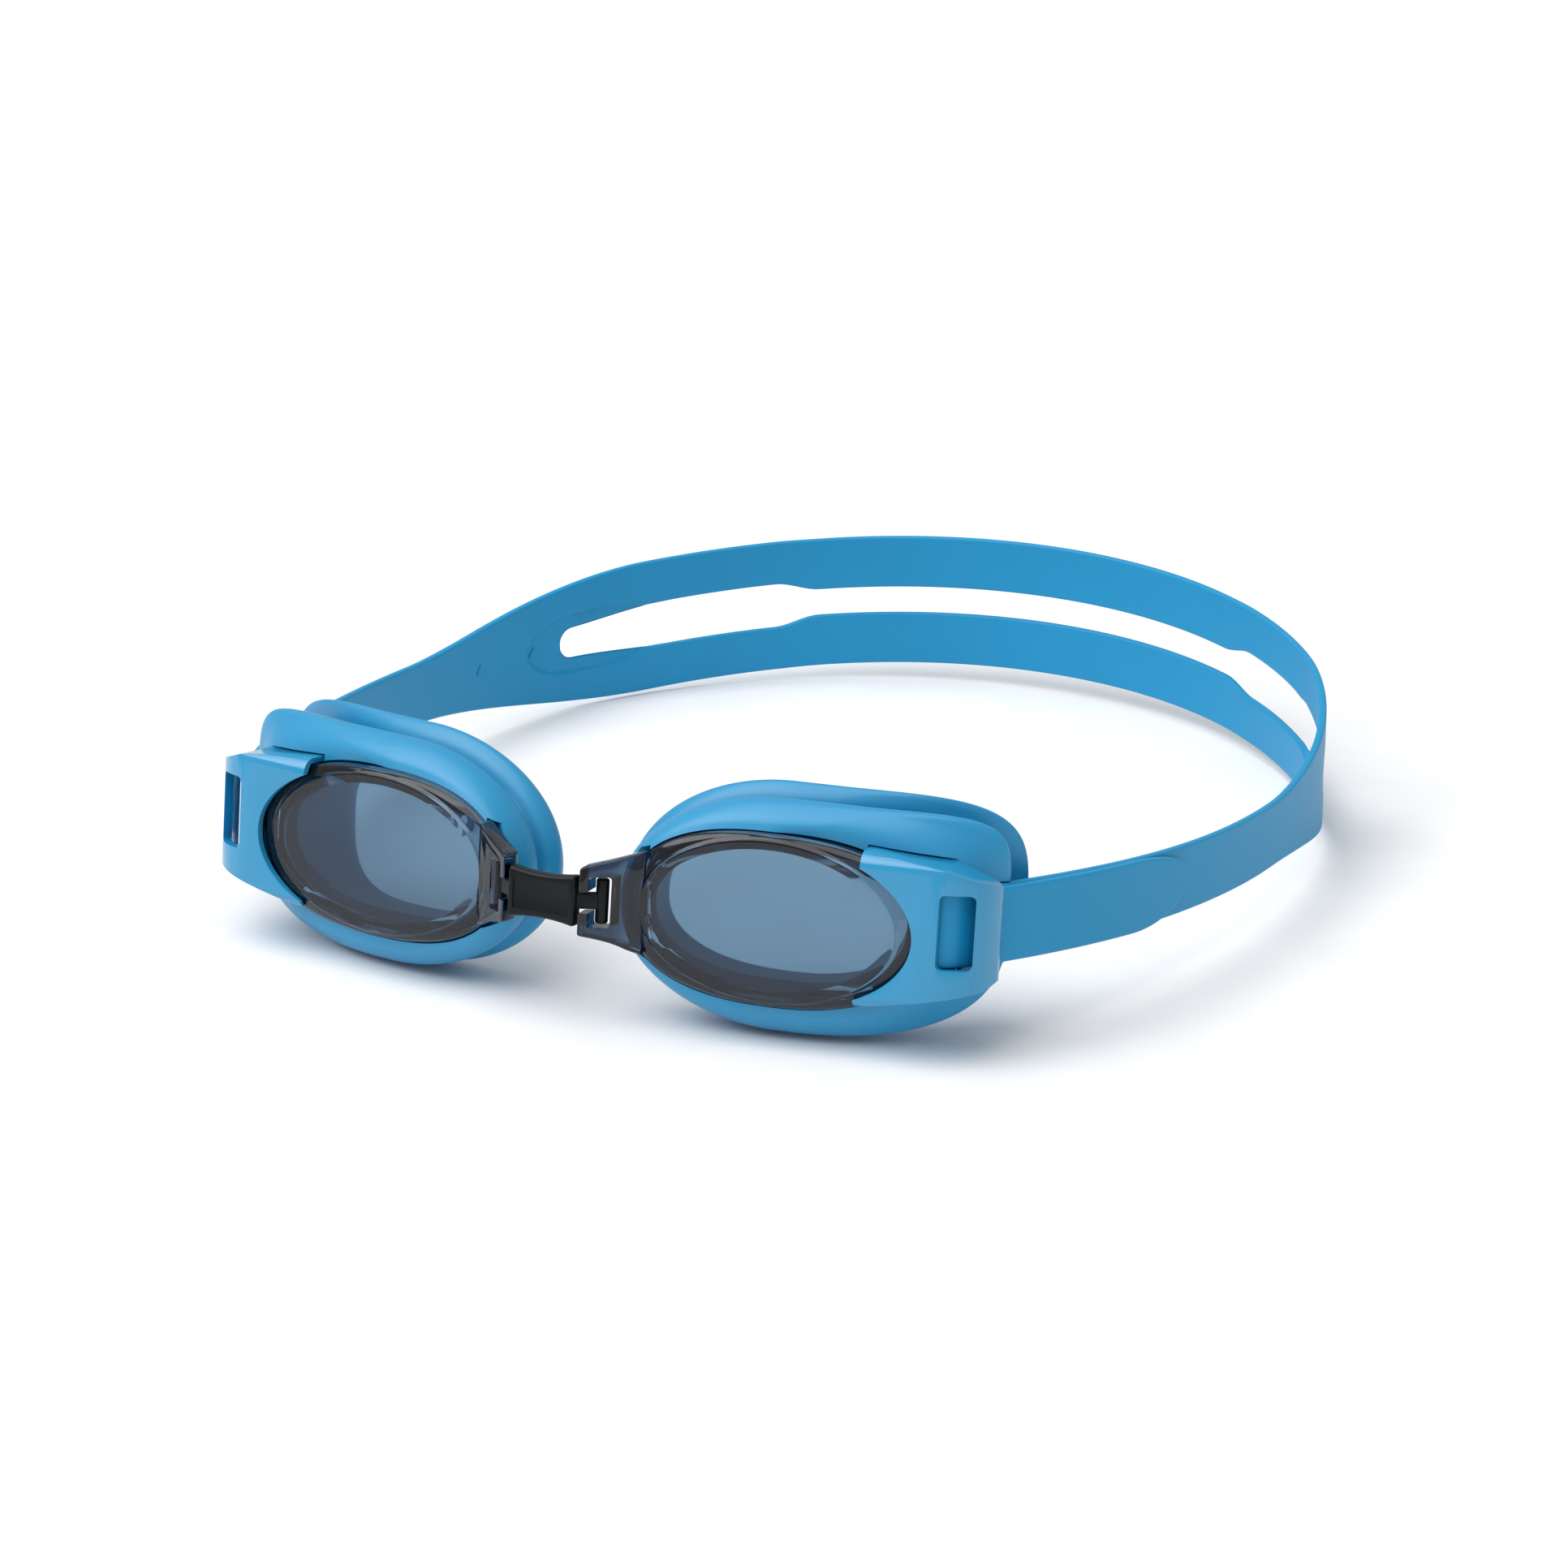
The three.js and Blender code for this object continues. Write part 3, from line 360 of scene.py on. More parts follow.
def combined(bm, *steps):
    """bm joined with or cut by other solids: each step is an operation and a bmesh."""
    target = linked("scratch", mesh_from("scratch", bm))
    tools = []
    for operation, other in steps:
        tool = linked("scratch", mesh_from("scratch", other))
        tools.append(tool)
        modifier = target.modifiers.new("step", "BOOLEAN")
        modifier.object = tool
        modifier.operation = operation
        modifier.solver = "EXACT"
    bpy.context.view_layer.update()
    evaluated = target.evaluated_get(bpy.context.evaluated_depsgraph_get())
    result = bmesh.new()
    result.from_mesh(evaluated.to_mesh())
    evaluated.to_mesh_clear()
    for used in (target, *tools):
        bpy.data.meshes.remove(used.data)
    bmesh.ops.remove_doubles(result, verts=result.verts, dist=0.001)
    return result


# ------------ strap path


def strap_start():
    """The strap's line starts beside the clip's bar; the tail's joint turns about its first arc's centre."""
    centre = Vector(JOINTS["left_tail_run"]["pos_m"]) / MM
    return Vector((
        centre.x + SIDE_RADIUS * cos(STRAP_HEADING),
        centre.y - SIDE_RADIUS * sin(STRAP_HEADING),
        centre.z,
    ))


START = strap_start()


def strap_arcs():
    arcs = []
    x, y = START.x, START.y
    stretches = [(STRAP_HEADING, SIDE_END, SIDE_RADIUS), (SIDE_END, CORNER_END, CORNER_RADIUS)]
    for begin, end, radius in stretches:
        arcs.append((x, y, begin, radius, radius * (begin - end)))
        x += radius * (cos(end) - cos(begin))
        y += radius * (sin(begin) - sin(end))
    radius = x / cos(CORNER_END)
    arcs.append((x, y, CORNER_END, radius, radius * (CORNER_END + pi / 2)))
    return arcs


ARCS = strap_arcs()
HALF_STRAP = sum(arc[4] for arc in ARCS)
BACK_Y = ARCS[2][1] + ARCS[2][3] * (1 + sin(ARCS[2][2]))


def along_half(distance):
    return min(distance, 2 * HALF_STRAP - distance)


def strap_place(distance):
    """The strap's middle line at a distance from the clip's bar: a place in plan and a heading."""
    left = along_half(distance)
    arc = ARCS[0]
    for following in ARCS[1:]:
        if left <= arc[4]:
            break
        left -= arc[4]
        arc = following
    x0, y0, begin, radius, _ = arc
    heading = begin - left / radius
    x = x0 + radius * (cos(heading) - cos(begin))
    y = y0 + radius * (sin(begin) - sin(heading))
    return x, y, heading


def strap_point(distance):
    """The point on the strap's middle line, its up and its outward."""
    x, y, heading = strap_place(distance)
    shift = CUP.translation.y
    to_dip = min(1.0, (y - START.y) / (STRAP_DIP_AT + shift - START.y))
    past_dip = max(0.0, (y - shift - STRAP_DIP_AT) / (BACK_Y - shift - STRAP_DIP_AT))
    z = START.z - STRAP_DIP * sin(pi / 2 * to_dip) + REAR_RISE * (1 - cos(pi / 2 * past_dip))
    lean = LEAN * (1 - smoothstep(along_half(distance), 0, STRAP_WAIST_AT))
    side = -1 if distance > HALF_STRAP else 1
    middle = Vector((side * x, y, z))
    return middle, Vector((0, sin(lean), cos(lean))), Vector((side * cos(heading), -sin(heading), 0))


def rear_step(distance):
    edge = REAR_LENGTH / 2
    return smoothstep(abs(HALF_STRAP - distance), edge, edge + REAR_STEP)


def half_height(distance):
    at = along_half(distance)
    arm = lerp(STRAP_HEIGHT, STRAP_WAIST_HEIGHT, smoothstep(at, 0, STRAP_WAIST_AT))
    bands = lerp(arm, BANDS_HEIGHT, smoothstep(at, SPREAD_START, SPREAD_END))
    return lerp(REAR_HEIGHT, bands, rear_step(distance)) / 2


def slot_half(distance):
    at = along_half(distance) - SLOT_START
    if at <= 0:
        return 0.0
    end = sqrt(1 - (1 - at / SLOT_END_RADIUS) ** 2) if at < SLOT_END_RADIUS else 1.0
    opened = lerp(SLOT_END_RADIUS, SLOT_HALF, smoothstep(at, 0, SLOT_WIDEST_AT - SLOT_START)) * end
    return lerp(REAR_SLOT_HALF, opened, rear_step(distance))


# ------------ strap

ACROSS = 26  # points across each face of the strap
HIGH_WALL, LOW_WALL = ACROSS + 4, 2 * ACROSS + 11  # places of a section's upper and lower edge
EDGE_ROUND = 0.42
LOOP_RADIUS = BAR_RADIUS + GAP + STRAP_THICKNESS / 2
LAYER_SPACING = STRAP_THICKNESS + GAP


def arm_bend(distance):
    """From the loop's inner side the arm comes back to the strap's line."""
    apart = 2 * LOOP_RADIUS - LAYER_SPACING
    return -apart * (1 - smoothstep(distance, ARM_START, CONVERGE_AT))


def strap_section(low, high, extra=0.0, low_round=1.0, high_round=1.0):
    """A section of the strap, once round, as pairs: out from the middle surface, and up."""
    half = STRAP_THICKNESS / 2 + extra
    corner = min(EDGE_ROUND, (high - low) / 2.2)
    low_corner, high_corner = corner * max(low_round, 1e-4), corner * max(high_round, 1e-4)
    low_flat, high_flat = low + low_corner, high - high_corner
    points = [(half, lerp(low_flat, high_flat, i / ACROSS)) for i in range(ACROSS + 1)]
    points += quarter(half - high_corner, high_flat, high_corner, 0)
    points += quarter(high_corner - half, high_flat, high_corner, 1)
    points += [(-half, lerp(high_flat, low_flat, i / ACROSS)) for i in range(1, ACROSS)]
    points += quarter(low_corner - half, low_flat, low_corner, 2)
    points += quarter(half - low_corner, low_flat, low_corner, 3)
    return points


def quarter(out, up, radius, turn):
    angles = [(turn + k / 3) * pi / 2 for k in range(4)]
    return [(out + radius * cos(angle), up + radius * sin(angle)) for angle in angles]


def lower_edge(distance):
    return -half_height(distance)


def lower_slot(distance):
    return -slot_half(distance)


def strip(distances, lower=lower_edge, upper=half_height, shift=None, extra=0.0, relief=None, seam=None):
    """A stretch of strap. relief sinks both faces, and seam is the edge it shares before the slot."""
    rings = []
    for distance in distances:
        middle, up, outward = strap_point(distance)
        shared = distance <= SLOT_START + 0.01
        low_round = 0.0 if seam == "low" and shared else 1.0
        high_round = 0.0 if seam == "high" and shared else 1.0
        section = strap_section(
            lower(distance) - extra, upper(distance) + extra, extra, low_round, high_round
        )
        moved = shift(distance) if shift else 0.0
        ring = []
        for out, height in section:
            sunk = relief(distance, height) if relief else 0.0
            ring.append(middle + up * height + outward * (moved + out - (sunk if out > 0 else -sunk)))
        rings.append(ring)
    wall = {"low": LOW_WALL, "high": HIGH_WALL}.get(seam)

    def open_seam(place, ring):
        return place == wall and 0 <= ring < len(distances) - 1 and distances[ring + 1] <= SLOT_START + 0.01

    return loft(rings, caps=True, skipped=open_seam if seam else None)


def slot_rim(distance, height):
    """How far the rim round the slot's end is sunk. It runs out along the bands."""
    at = along_half(distance)
    width = RIM_WIDTH * (1 - smoothstep(at, SLOT_START + RIM_FADE[0], SLOT_START + RIM_FADE[1]))
    ahead = SLOT_START + SLOT_END_RADIUS - at
    if ahead > 0:
        reach = hypot(ahead / (SLOT_END_RADIUS + RIM_LENGTH), height / (SLOT_END_RADIUS + RIM_WIDTH))
        away = (reach - 1) * (SLOT_END_RADIUS + RIM_WIDTH)
    else:
        away = abs(height) - slot_half(distance) - width
    return min(1.0, width) * RIM_DEPTH * (1 - smoothstep(away, *RIM_EDGE))


def strap_mark(distance):
    """A small raised triangle on the strap's inner face."""
    middle, up, outward = strap_point(distance)
    along = outward.cross(up)
    face = middle - outward * (STRAP_THICKNESS / 2 - slot_rim(distance, 0.0) - MARK_SUNK)
    size = MARK_SIZE
    base = face - up * size * MARK_BASE
    return rounded(
        pushed([face + up * size, base + along * size, base - along * size], -outward * MARK_HEIGHT),
        MARK_ROUND, 2,
    )


def join(bm, other):
    """Adds another bmesh to this one."""
    mesh = mesh_from("part", other)
    bm.from_mesh(mesh)
    bpy.data.meshes.remove(mesh)


def junction_solid():
    """Where the arm splits: two halves that share their seam up to the slot."""
    round_end = [SLOT_START + SLOT_END_RADIUS * (1 - cos(i * pi / 24)) for i in range(1, 13)]
    distances = [
        *spaced(JUNCTION_START, SLOT_START - FINE_BEFORE_SLOT, 16),
        *spaced(SLOT_START - FINE_BEFORE_SLOT, SLOT_START, 30)[1:],
        *round_end,
        *spaced(SLOT_START + SLOT_END_RADIUS, JUNCTION_END, 16)[1:],
    ]
    joined = strip(distances, lower=slot_half, relief=slot_rim, seam="low")
    join(joined, strip(distances, upper=lower_slot, relief=slot_rim, seam="high"))
    weld(joined)
    for distance in MARKS_AT:
        join(joined, strap_mark(distance))
    return joined


def tail_solid():
    """The loose end, with a rounded and slanted tip."""

    def tip(distance):
        left = max(0.0, TAIL_END - distance) / TAIL_TAPER
        return 1.0 if left >= 1 else sqrt(1 - (1 - left) ** 2)

    def half(distance):
        return lerp(STRAP_HEIGHT, TAIL_HEIGHT, smoothstep(distance, 0, TAIL_END)) / 2

    straight = spaced(ARM_START, TAIL_END - TAIL_TAPER, 30)
    tapered = [TAIL_END - TAIL_TAPER * cos(i * pi / 48) for i in range(1, 25)]
    return strip(
        [*straight, *tapered],
        lower=lambda distance: half(distance) * lerp(TAIL_TIP_BOTTOM, -1, tip(distance)),
        upper=lambda distance: half(distance) * lerp(TAIL_TIP_TOP, 1, tip(distance)),
        shift=lambda distance: LAYER_SPACING,
    )


def loop_solid():
    """The strap's half turn round the clip's bar, with two short legs that run back."""
    heading = Matrix.Rotation(-LOOP_HEADING, 4, "Z")
    places = [(LOOP_RADIUS, ARM_START, 0.0)]
    for i in range(25):
        angle = -pi * i / 24
        places.append((LOOP_RADIUS * cos(angle), LOOP_REACH * sin(angle), angle))
    places.append((-LOOP_RADIUS, ARM_START, -pi))
    rings = []
    for x, y, angle in places:
        ring = []
        for out, height in strap_section(-STRAP_HEIGHT / 2, STRAP_HEIGHT / 2):
            ring.append(heading @ Vector((x + out * cos(angle), y + out * sin(angle), height)))
        rings.append(ring)
    loop = loft(rings, caps=True)
    return placed(loop, CUP @ Matrix.Translation((*BAR_IN_CUP, STRAP_RISE)))


# ------------ lens


def outline_ring(reach, depth, steps):
    """An outline's points at one depth."""
    places = [outline(i / steps, reach) for i in range(steps)]
    return [Vector((x, depth, z)) for x, z in places]


def ringed(profile, steps):
    """A cup-like surface: each entry is an outline and its depth."""
    return loft([outline_ring(reach, depth, steps) for reach, depth in profile])


def window_oval(by):
    return oval(WINDOW[0] + by, WINDOW[1] + by)


def lens_cup(sizes):
    """The window, its rounded ledge, the shoulder, the wall and the hollow behind, as one surface."""
    edge = sizes.ledge_round
    inner_wall = drawn_in(WALL, LENS_THICKNESS)
    ledge = window_oval(WINDOW_STEP)
    profile = [(oval(0, 0), 0), (window_oval(-edge - WINDOW_RING), 0)]
    profile += [(window_oval(edge * outward), edge * back) for outward, back in EDGE_TURN]
    profile += [(window_oval(WINDOW_STEP * 0.6), WINDOW_STEP * 0.9), (ledge, WINDOW_STEP)]
    for share in SHOULDER_SHARES:
        depth = lerp(WINDOW_STEP, WALL_FRONT, share**SHOULDER_SWELL)
        profile.append((mixed(ledge, WALL, share), depth))
    profile += [
        (drawn_in(WALL, 0.1), WALL_FRONT - 0.05),
        (WALL, WALL_FRONT + 0.25),
        (WALL, WALL_BACK - WALL_ROUND),
        (drawn_in(WALL, WALL_ROUND), WALL_BACK),
        (drawn_in(inner_wall, -WALL_ROUND), WALL_BACK),
        (inner_wall, WALL_BACK - WALL_ROUND),
        (inner_wall, WALL_FRONT + LENS_THICKNESS + 0.8),
        (drawn_in(inner_wall, 0.5), WALL_FRONT + LENS_THICKNESS),
        (window_oval(-LENS_THICKNESS), LENS_THICKNESS),
        (window_oval(-LENS_THICKNESS - WINDOW_RING), LENS_THICKNESS),
        (oval(0, 0), LENS_THICKNESS),
    ]
    return ringed(profile, sizes.lens_steps)


def socket_front(x):
    """Depth of the socket's leaning front face. x is negative, towards the nose."""
    return WALL_FRONT - SOCKET_PROUD + (x + SOCKET_ROOT) * tan(SOCKET_LEAN)


def socket_slab(by=0.0):
    """The nose socket's slab, or with by the room that it needs in the pad."""
    wing_at, wing_top, wing_bottom = SOCKET_WINGS
    across = [-x for x in spaced(SOCKET_ROOT, SOCKET_TIP, 8)]
    corners = []
    for x in across:
        share = (-x - wing_at) / (SOCKET_TIP - wing_at)
        corners.append((x, lerp(wing_top, SOCKET_TOP, share) - SOCKET_SAG * sin(pi * share) + by))
    for x in reversed(across):
        share = min(1.0, (-x - wing_at) / (WALL["nose"] - wing_at))
        low = lerp(wing_bottom, WALL["bottom"] / 2, share)
        beyond = max(0.0, (-x - WALL["nose"]) / (SOCKET_TIP - WALL["nose"]))
        corners.append((x, -lerp(low, SOCKET_BOTTOM, beyond**0.7) - by))
    front = [Vector((x, socket_front(x) - by, z)) for x, z in corners]
    depth = SOCKET_THICKNESS / cos(SOCKET_LEAN) + 2 * by
    return pushed(front, (0, depth, 0))


def socket_cuts():
    """The window for the hook bar, and the gap between the lips for its neck."""
    half_window = HOOK_BAR_LENGTH / 2 + HOOK_PLAY
    half_gap = NECK_HEIGHT / 2 + HOOK_PLAY
    window = block(
        (-HOOK_BAR_AT - HOOK_BAR_RADIUS - HOOK_PLAY, -FAR, HOOK_RISE - half_window),
        (-HOOK_BAR_AT + HOOK_BAR_RADIUS + BEHIND_HOOK_ROOM, FAR, HOOK_RISE + half_window),
    )
    gap = block((-SOCKET_TIP - 2, -FAR, HOOK_RISE - half_gap), (-HOOK_BAR_AT, FAR, HOOK_RISE + half_gap))
    return rounded(window, SOCKET_WINDOW_ROUND, 3), rounded(gap, SOCKET_GAP_ROUND, 2)


def hollow():
    """The inside of the cup, which the socket must not fill."""
    inner = drawn_in(WALL, LENS_THICKNESS / 2)
    return pushed(outline_ring(inner, WALL_FRONT + LENS_THICKNESS / 2, 96), (0, FAR, 0))


def lens_solid(sizes):
    window, gap = socket_cuts()
    socket = combined(
        rounded(socket_slab(), sizes.socket_round, 3),
        ("DIFFERENCE", window), ("DIFFERENCE", gap), ("DIFFERENCE", hollow()),
    )
    return combined(lens_cup(sizes), ("UNION", socket))


# ------------ side clip


def bezier(points, count):
    """Points along a curve with two control points."""
    a, b, c, d = (Vector(point) for point in points)
    made = []
    for i in range(count + 1):
        t = i / count
        made.append(a * (1 - t) ** 3 + b * (3 * t * (1 - t) ** 2) + c * (3 * t * t * (1 - t)) + d * t**3)
    return made


def clip_body(by):
    """The clip's outer form, or with by a form inside or outside it by that much."""
    front, reach = CLIP_FRONT + by, CLIP_REACH - by
    back = CLIP_BACK + (1 if by > 0 else 0)
    shoulder = WALL["temple"] + CLIP_SHOULDER
    curve = bezier(
        [
            (shoulder - by, front, 0),
            (lerp(shoulder, reach, 0.5), front, 0),
            (reach - CLIP_CURVE_SIDE[0], front + CLIP_CURVE_SIDE[1], 0),
            (reach, back - CLIP_CURVE_END, 0),
        ],
        28,
    )
    down = Vector((0, 0, -FAR))
    plan = [Vector((0, front, 0)) + down, *(point + down for point in curve)]
    plan += [Vector((reach, back, 0)) + down, Vector((0, back, 0)) + down]
    corner = max(0.1, CLIP_CORNER - by * (2 - sqrt(2)))
    top, bottom = CLIP_TOP - by, -CLIP_BOTTOM + by
    rear_top, rear_bottom = CLIP_REAR_TOP - by, -CLIP_REAR_BOTTOM + by
    knee = (CLIP_KNEE, top - CLIP_KNEE_DROP)
    before, after = CLIP_BEND
    bend = [(lerp(CLIP_TIP, knee[0], before[0]), lerp(top, knee[1], before[1])), knee]
    bend.append((lerp(knee[0], reach, after[0]), lerp(knee[1], rear_top, after[1])))
    seen = [
        (CLIP_TIP + by, top), (CLIP_TIP + by, bottom), (reach - corner, rear_bottom),
        (reach, rear_bottom + corner), (reach, rear_top - corner), (reach - corner, rear_top),
        *reversed(bend),
    ]
    angles = [k * pi / 24 for k in range(13)]
    turned = [(front + CLIP_ROUND * (1 - cos(angle)), CLIP_ROUND * (1 - sin(angle))) for angle in angles]
    side = [(y, top - drop) for y, drop in turned]
    side += [(CLIP_BACK + 2, top), (CLIP_BACK + 2, bottom)]
    side += [(y, bottom + drop) for y, drop in reversed(turned)]
    return combined(
        pushed(plan, (0, 0, 2 * FAR)),
        ("INTERSECT", pushed([Vector((x, -FAR, z)) for x, z in seen], (0, 2 * FAR, 0))),
        ("INTERSECT", pushed([Vector((-1, y, z)) for y, z in side], (CLIP_REACH + 2, 0, 0))),
    )


def clip_solid(sizes):
    low = STRAP_RISE - CLIP_WINDOW[1] / 2
    middle = BAR_IN_CUP[0] + CLIP_WINDOW_OFFSET
    window = block(
        (middle - CLIP_WINDOW[0] / 2, -FAR, low),
        (middle + CLIP_WINDOW[0] / 2, BAR_IN_CUP[1], low + CLIP_WINDOW[1]),
    )
    rim = outline_ring(oval(WINDOW[0] + CLIP_RIM[0], WINDOW[1] + CLIP_RIM[1]), -FAR, 120)
    step = WINDOW_STEP + GAP
    room = ringed(
        [
            (oval(0, 0), -GAP),
            (window_oval(GAP), -GAP),
            (window_oval(step), WINDOW_STEP - GAP),
            (drawn_in(WALL, -GAP), WALL_FRONT - GAP),
            (drawn_in(WALL, -GAP), 2 * FAR),
            (oval(0, 0), 2 * FAR),
        ],
        96,
    )
    shell = combined(
        clip_body(0),
        ("DIFFERENCE", clip_body(CLIP_WALL)),
        ("DIFFERENCE", rounded(window, CLIP_WINDOW_ROUND, 4, radians(60))),
        ("DIFFERENCE", pushed(rim, (0, 2 * FAR, 0))),
        ("DIFFERENCE", room),
    )
    bmesh.ops.remove_doubles(shell, verts=shell.verts, dist=0.02)
    bmesh.ops.dissolve_limit(
        shell, angle_limit=radians(1.5), verts=shell.verts, edges=shell.edges, use_dissolve_boundaries=False,
    )
    rounded(shell, sizes.clip_round, 3, radians(38))
    height = CLIP_REAR_TOP + CLIP_REAR_BOTTOM - CLIP_WALL
    bar = rod((*BAR_IN_CUP, (CLIP_REAR_TOP - CLIP_REAR_BOTTOM) / 2), BAR_RADIUS, height, BAR_ROUND)
    return combined(shell, ("UNION", bar))


# ------------ pad


def pad_section(turn):
    """The corners of the pad's section where the outline is at turn. Each lies a share of the way from one
    outline to another, at a depth."""
    seat = outline(turn, drawn_in(WALL, -GAP))
    bead = outline(turn, BEAD)
    lip = outline(turn, LIP)
    lining = outline(turn, drawn_in(WALL, LENS_THICKNESS + LIP_OVERHANG / 2))
    bead_back = swept(bead[0], BEAD["temple"], BEAD_SWEEP) + BEAD_DEPTH
    lip_back = swept(lip[0], LIP["temple"], LIP_SWEEP) + LIP_DEPTH
    seat_front = swept(bead[0], BEAD["temple"], SEAT_SWEEP) + WALL_FRONT + SEAT_STEP
    corners = [
        (seat, seat, 0, seat_front),
        (seat, bead, 0.32, lerp(seat_front, bead_back - BEAD_RADIUS, 0.22)),
        (seat, bead, 0.77, bead_back - BEAD_RADIUS * 0.95),
        (seat, bead, 1, bead_back - BEAD_RADIUS * 0.1),
        (seat, bead, 0.92, bead_back + BEAD_RADIUS * 0.5),
        (seat, bead, PAD_WAIST, (bead_back + lip_back) / 2),
        (seat, lip, 0.74, lip_back - LIP_THICKNESS * 0.75),
        (seat, lip, 1, lip_back),
        (seat, lip, 0.85, lip_back + LIP_THICKNESS * 0.6),
        (lining, lip, 0.45, lip_back + LIP_THICKNESS),
        (lining, lip, 0.05, lip_back + LIP_THICKNESS * 0.4),
        (lining, lining, 0, lerp(WALL_BACK, lip_back, 0.5)),
        (lining, lining, 0, WALL_BACK + GAP),
        (seat, seat, 0, WALL_BACK + GAP),
    ]
    return [Vector((lerp(a[0], b[0], k), depth, lerp(a[1], b[1], k))) for a, b, k, depth in corners]


def pad_solid(sizes):
    rings = []
    for i in range(sizes.pad_steps):
        rings.append(smooth_section(pad_section(i / sizes.pad_steps), 5, 11))
    arm = placed(strip(spaced(-1, ARM_BREAK / 2, 24), shift=arm_bend, extra=GAP), CUP.inverted())
    return combined(
        loft(rings, closed=True),
        ("DIFFERENCE", clip_body(-GAP)),
        ("DIFFERENCE", socket_slab(2 * GAP)),
        ("DIFFERENCE", arm),
    )


# ------------ nose bridge


def belt(front, sizes):
    """The belt between the lenses: lower in its middle, with rounded edges and ends."""
    half_length, radius = BELT_LENGTH / 2, sizes.belt_round
    angles = [k * pi / 12 for k in range(7)]
    places = [(half_length - radius * (1 - sin(angle)), radius * (1 - cos(angle))) for angle in angles]
    stations = [(-x, inset) for x, inset in reversed(places)]
    middle = spaced(-half_length + radius, half_length - radius, 24)[1:-1]
    stations += [(x, 0.0) for x in middle] + places
    rings = []
    for x, inset in stations:
        rise = lerp(BELT_HEIGHT_MIDDLE, BELT_HEIGHT_ENDS, (x / half_length) ** 2) / 2 - inset
        depth = BELT_THICKNESS / 2 - inset
        ring = []
        for turn, (side, up) in enumerate(((1, 1), (-1, 1), (-1, -1), (1, -1))):
            corner = (side * (depth - radius), up * (rise - radius))
            for y, z in quarter(*corner, radius, turn):
                ring.append(Vector((x, front + BELT_THICKNESS / 2 + y, HOOK_RISE + z)))
        rings.append(ring)
    return loft(rings, caps=True)


def bridge_solid(sizes):
    face_from_cup = FACE.inverted() @ CUP
    bar_depth = socket_front(-HOOK_BAR_AT) + SOCKET_THICKNESS / 2 / cos(SOCKET_LEAN)
    bar = face_from_cup @ Vector((-HOOK_BAR_AT, bar_depth, HOOK_RISE))
    front = (face_from_cup @ Vector((-SOCKET_TIP, socket_front(-SOCKET_TIP), HOOK_RISE))).y
    inset = BELT_PANEL_INSET
    panel = block(
        (inset - BELT_LENGTH / 2, front - 1, HOOK_RISE - BELT_HEIGHT_MIDDLE / 2 + inset),
        (BELT_LENGTH / 2 - inset, front + BELT_PANEL_DEPTH, HOOK_RISE + BELT_HEIGHT_MIDDLE / 2 - inset),
    )
    steps = [("DIFFERENCE", rounded(panel, PANEL_ROUND, 2))]
    aside = Vector((0, NECK_THICKNESS / 2, 0))
    low = HOOK_RISE - NECK_HEIGHT / 2
    for side in (1, -1):
        belt_end = Vector((side * (BELT_LENGTH / 2 - 1), front + BELT_THICKNESS / 2, low))
        hook = Vector((side * bar.x, bar.y, low))
        corners = [belt_end - aside, hook - aside, hook + aside, belt_end + aside]
        neck = rounded(pushed(corners, (0, 0, NECK_HEIGHT)), NECK_ROUND, 3)
        hook_bar = rod((side * bar.x, bar.y, HOOK_RISE), HOOK_BAR_RADIUS, HOOK_BAR_LENGTH, HOOK_BAR_ROUND)
        steps += [("UNION", neck), ("UNION", hook_bar)]
    return placed(combined(belt(front, sizes), *steps), FACE)


# ------------ materials


def surface_group():
    """Shared: soft changes of colour and gloss over a moulded surface, and its fine grain."""
    name = "Moulded surface"
    if name in bpy.data.node_groups:
        return bpy.data.node_groups[name]
    group = bpy.data.node_groups.new(name, "ShaderNodeTree")
    for way, last in (("INPUT", "Grain size"), ("OUTPUT", "Height")):
        group.interface.new_socket("Colour", in_out=way, socket_type="NodeSocketColor")
        for label in ("Roughness", last):
            group.interface.new_socket(label, in_out=way, socket_type="NodeSocketFloat")
    nodes, links = group.nodes, group.links
    given, result = nodes.new("NodeGroupInput"), nodes.new("NodeGroupOutput")
    place = nodes.new("ShaderNodeTexCoord")
    broad, fine = nodes.new("ShaderNodeTexNoise"), nodes.new("ShaderNodeTexNoise")
    broad.inputs["Scale"].default_value = SHADE_SCALE
    broad.inputs["Detail"].default_value = 3.0
    fine.inputs["Detail"].default_value = 2.0
    links.new(place.outputs["Object"], broad.inputs["Vector"])
    links.new(place.outputs["Object"], fine.inputs["Vector"])
    links.new(given.outputs["Grain size"], fine.inputs["Scale"])
    shade = nodes.new("ShaderNodeHueSaturation")
    value = nodes.new("ShaderNodeMapRange")
    value.inputs["To Min"].default_value, value.inputs["To Max"].default_value = SHADE_RANGE
    links.new(broad.outputs["Fac"], value.inputs["Value"])
    links.new(value.outputs["Result"], shade.inputs["Value"])
    links.new(given.outputs["Colour"], shade.inputs["Color"])
    links.new(shade.outputs["Color"], result.inputs["Colour"])
    change = nodes.new("ShaderNodeMath")
    change.operation = "MULTIPLY_ADD"
    change.inputs[1].default_value = GLOSS_CHANGE
    links.new(broad.outputs["Fac"], change.inputs[0])
    links.new(given.outputs["Roughness"], change.inputs[2])
    links.new(change.outputs["Value"], result.inputs["Roughness"])
    links.new(fine.outputs["Fac"], result.inputs["Height"])
    return group


def new_material(name):
    """A new material, its nodes, its links and its shader."""
    material = bpy.data.materials.new(name)
    material.use_nodes = True
    tree = material.node_tree
    return material, tree.nodes, tree.links, tree.nodes["Principled BSDF"]


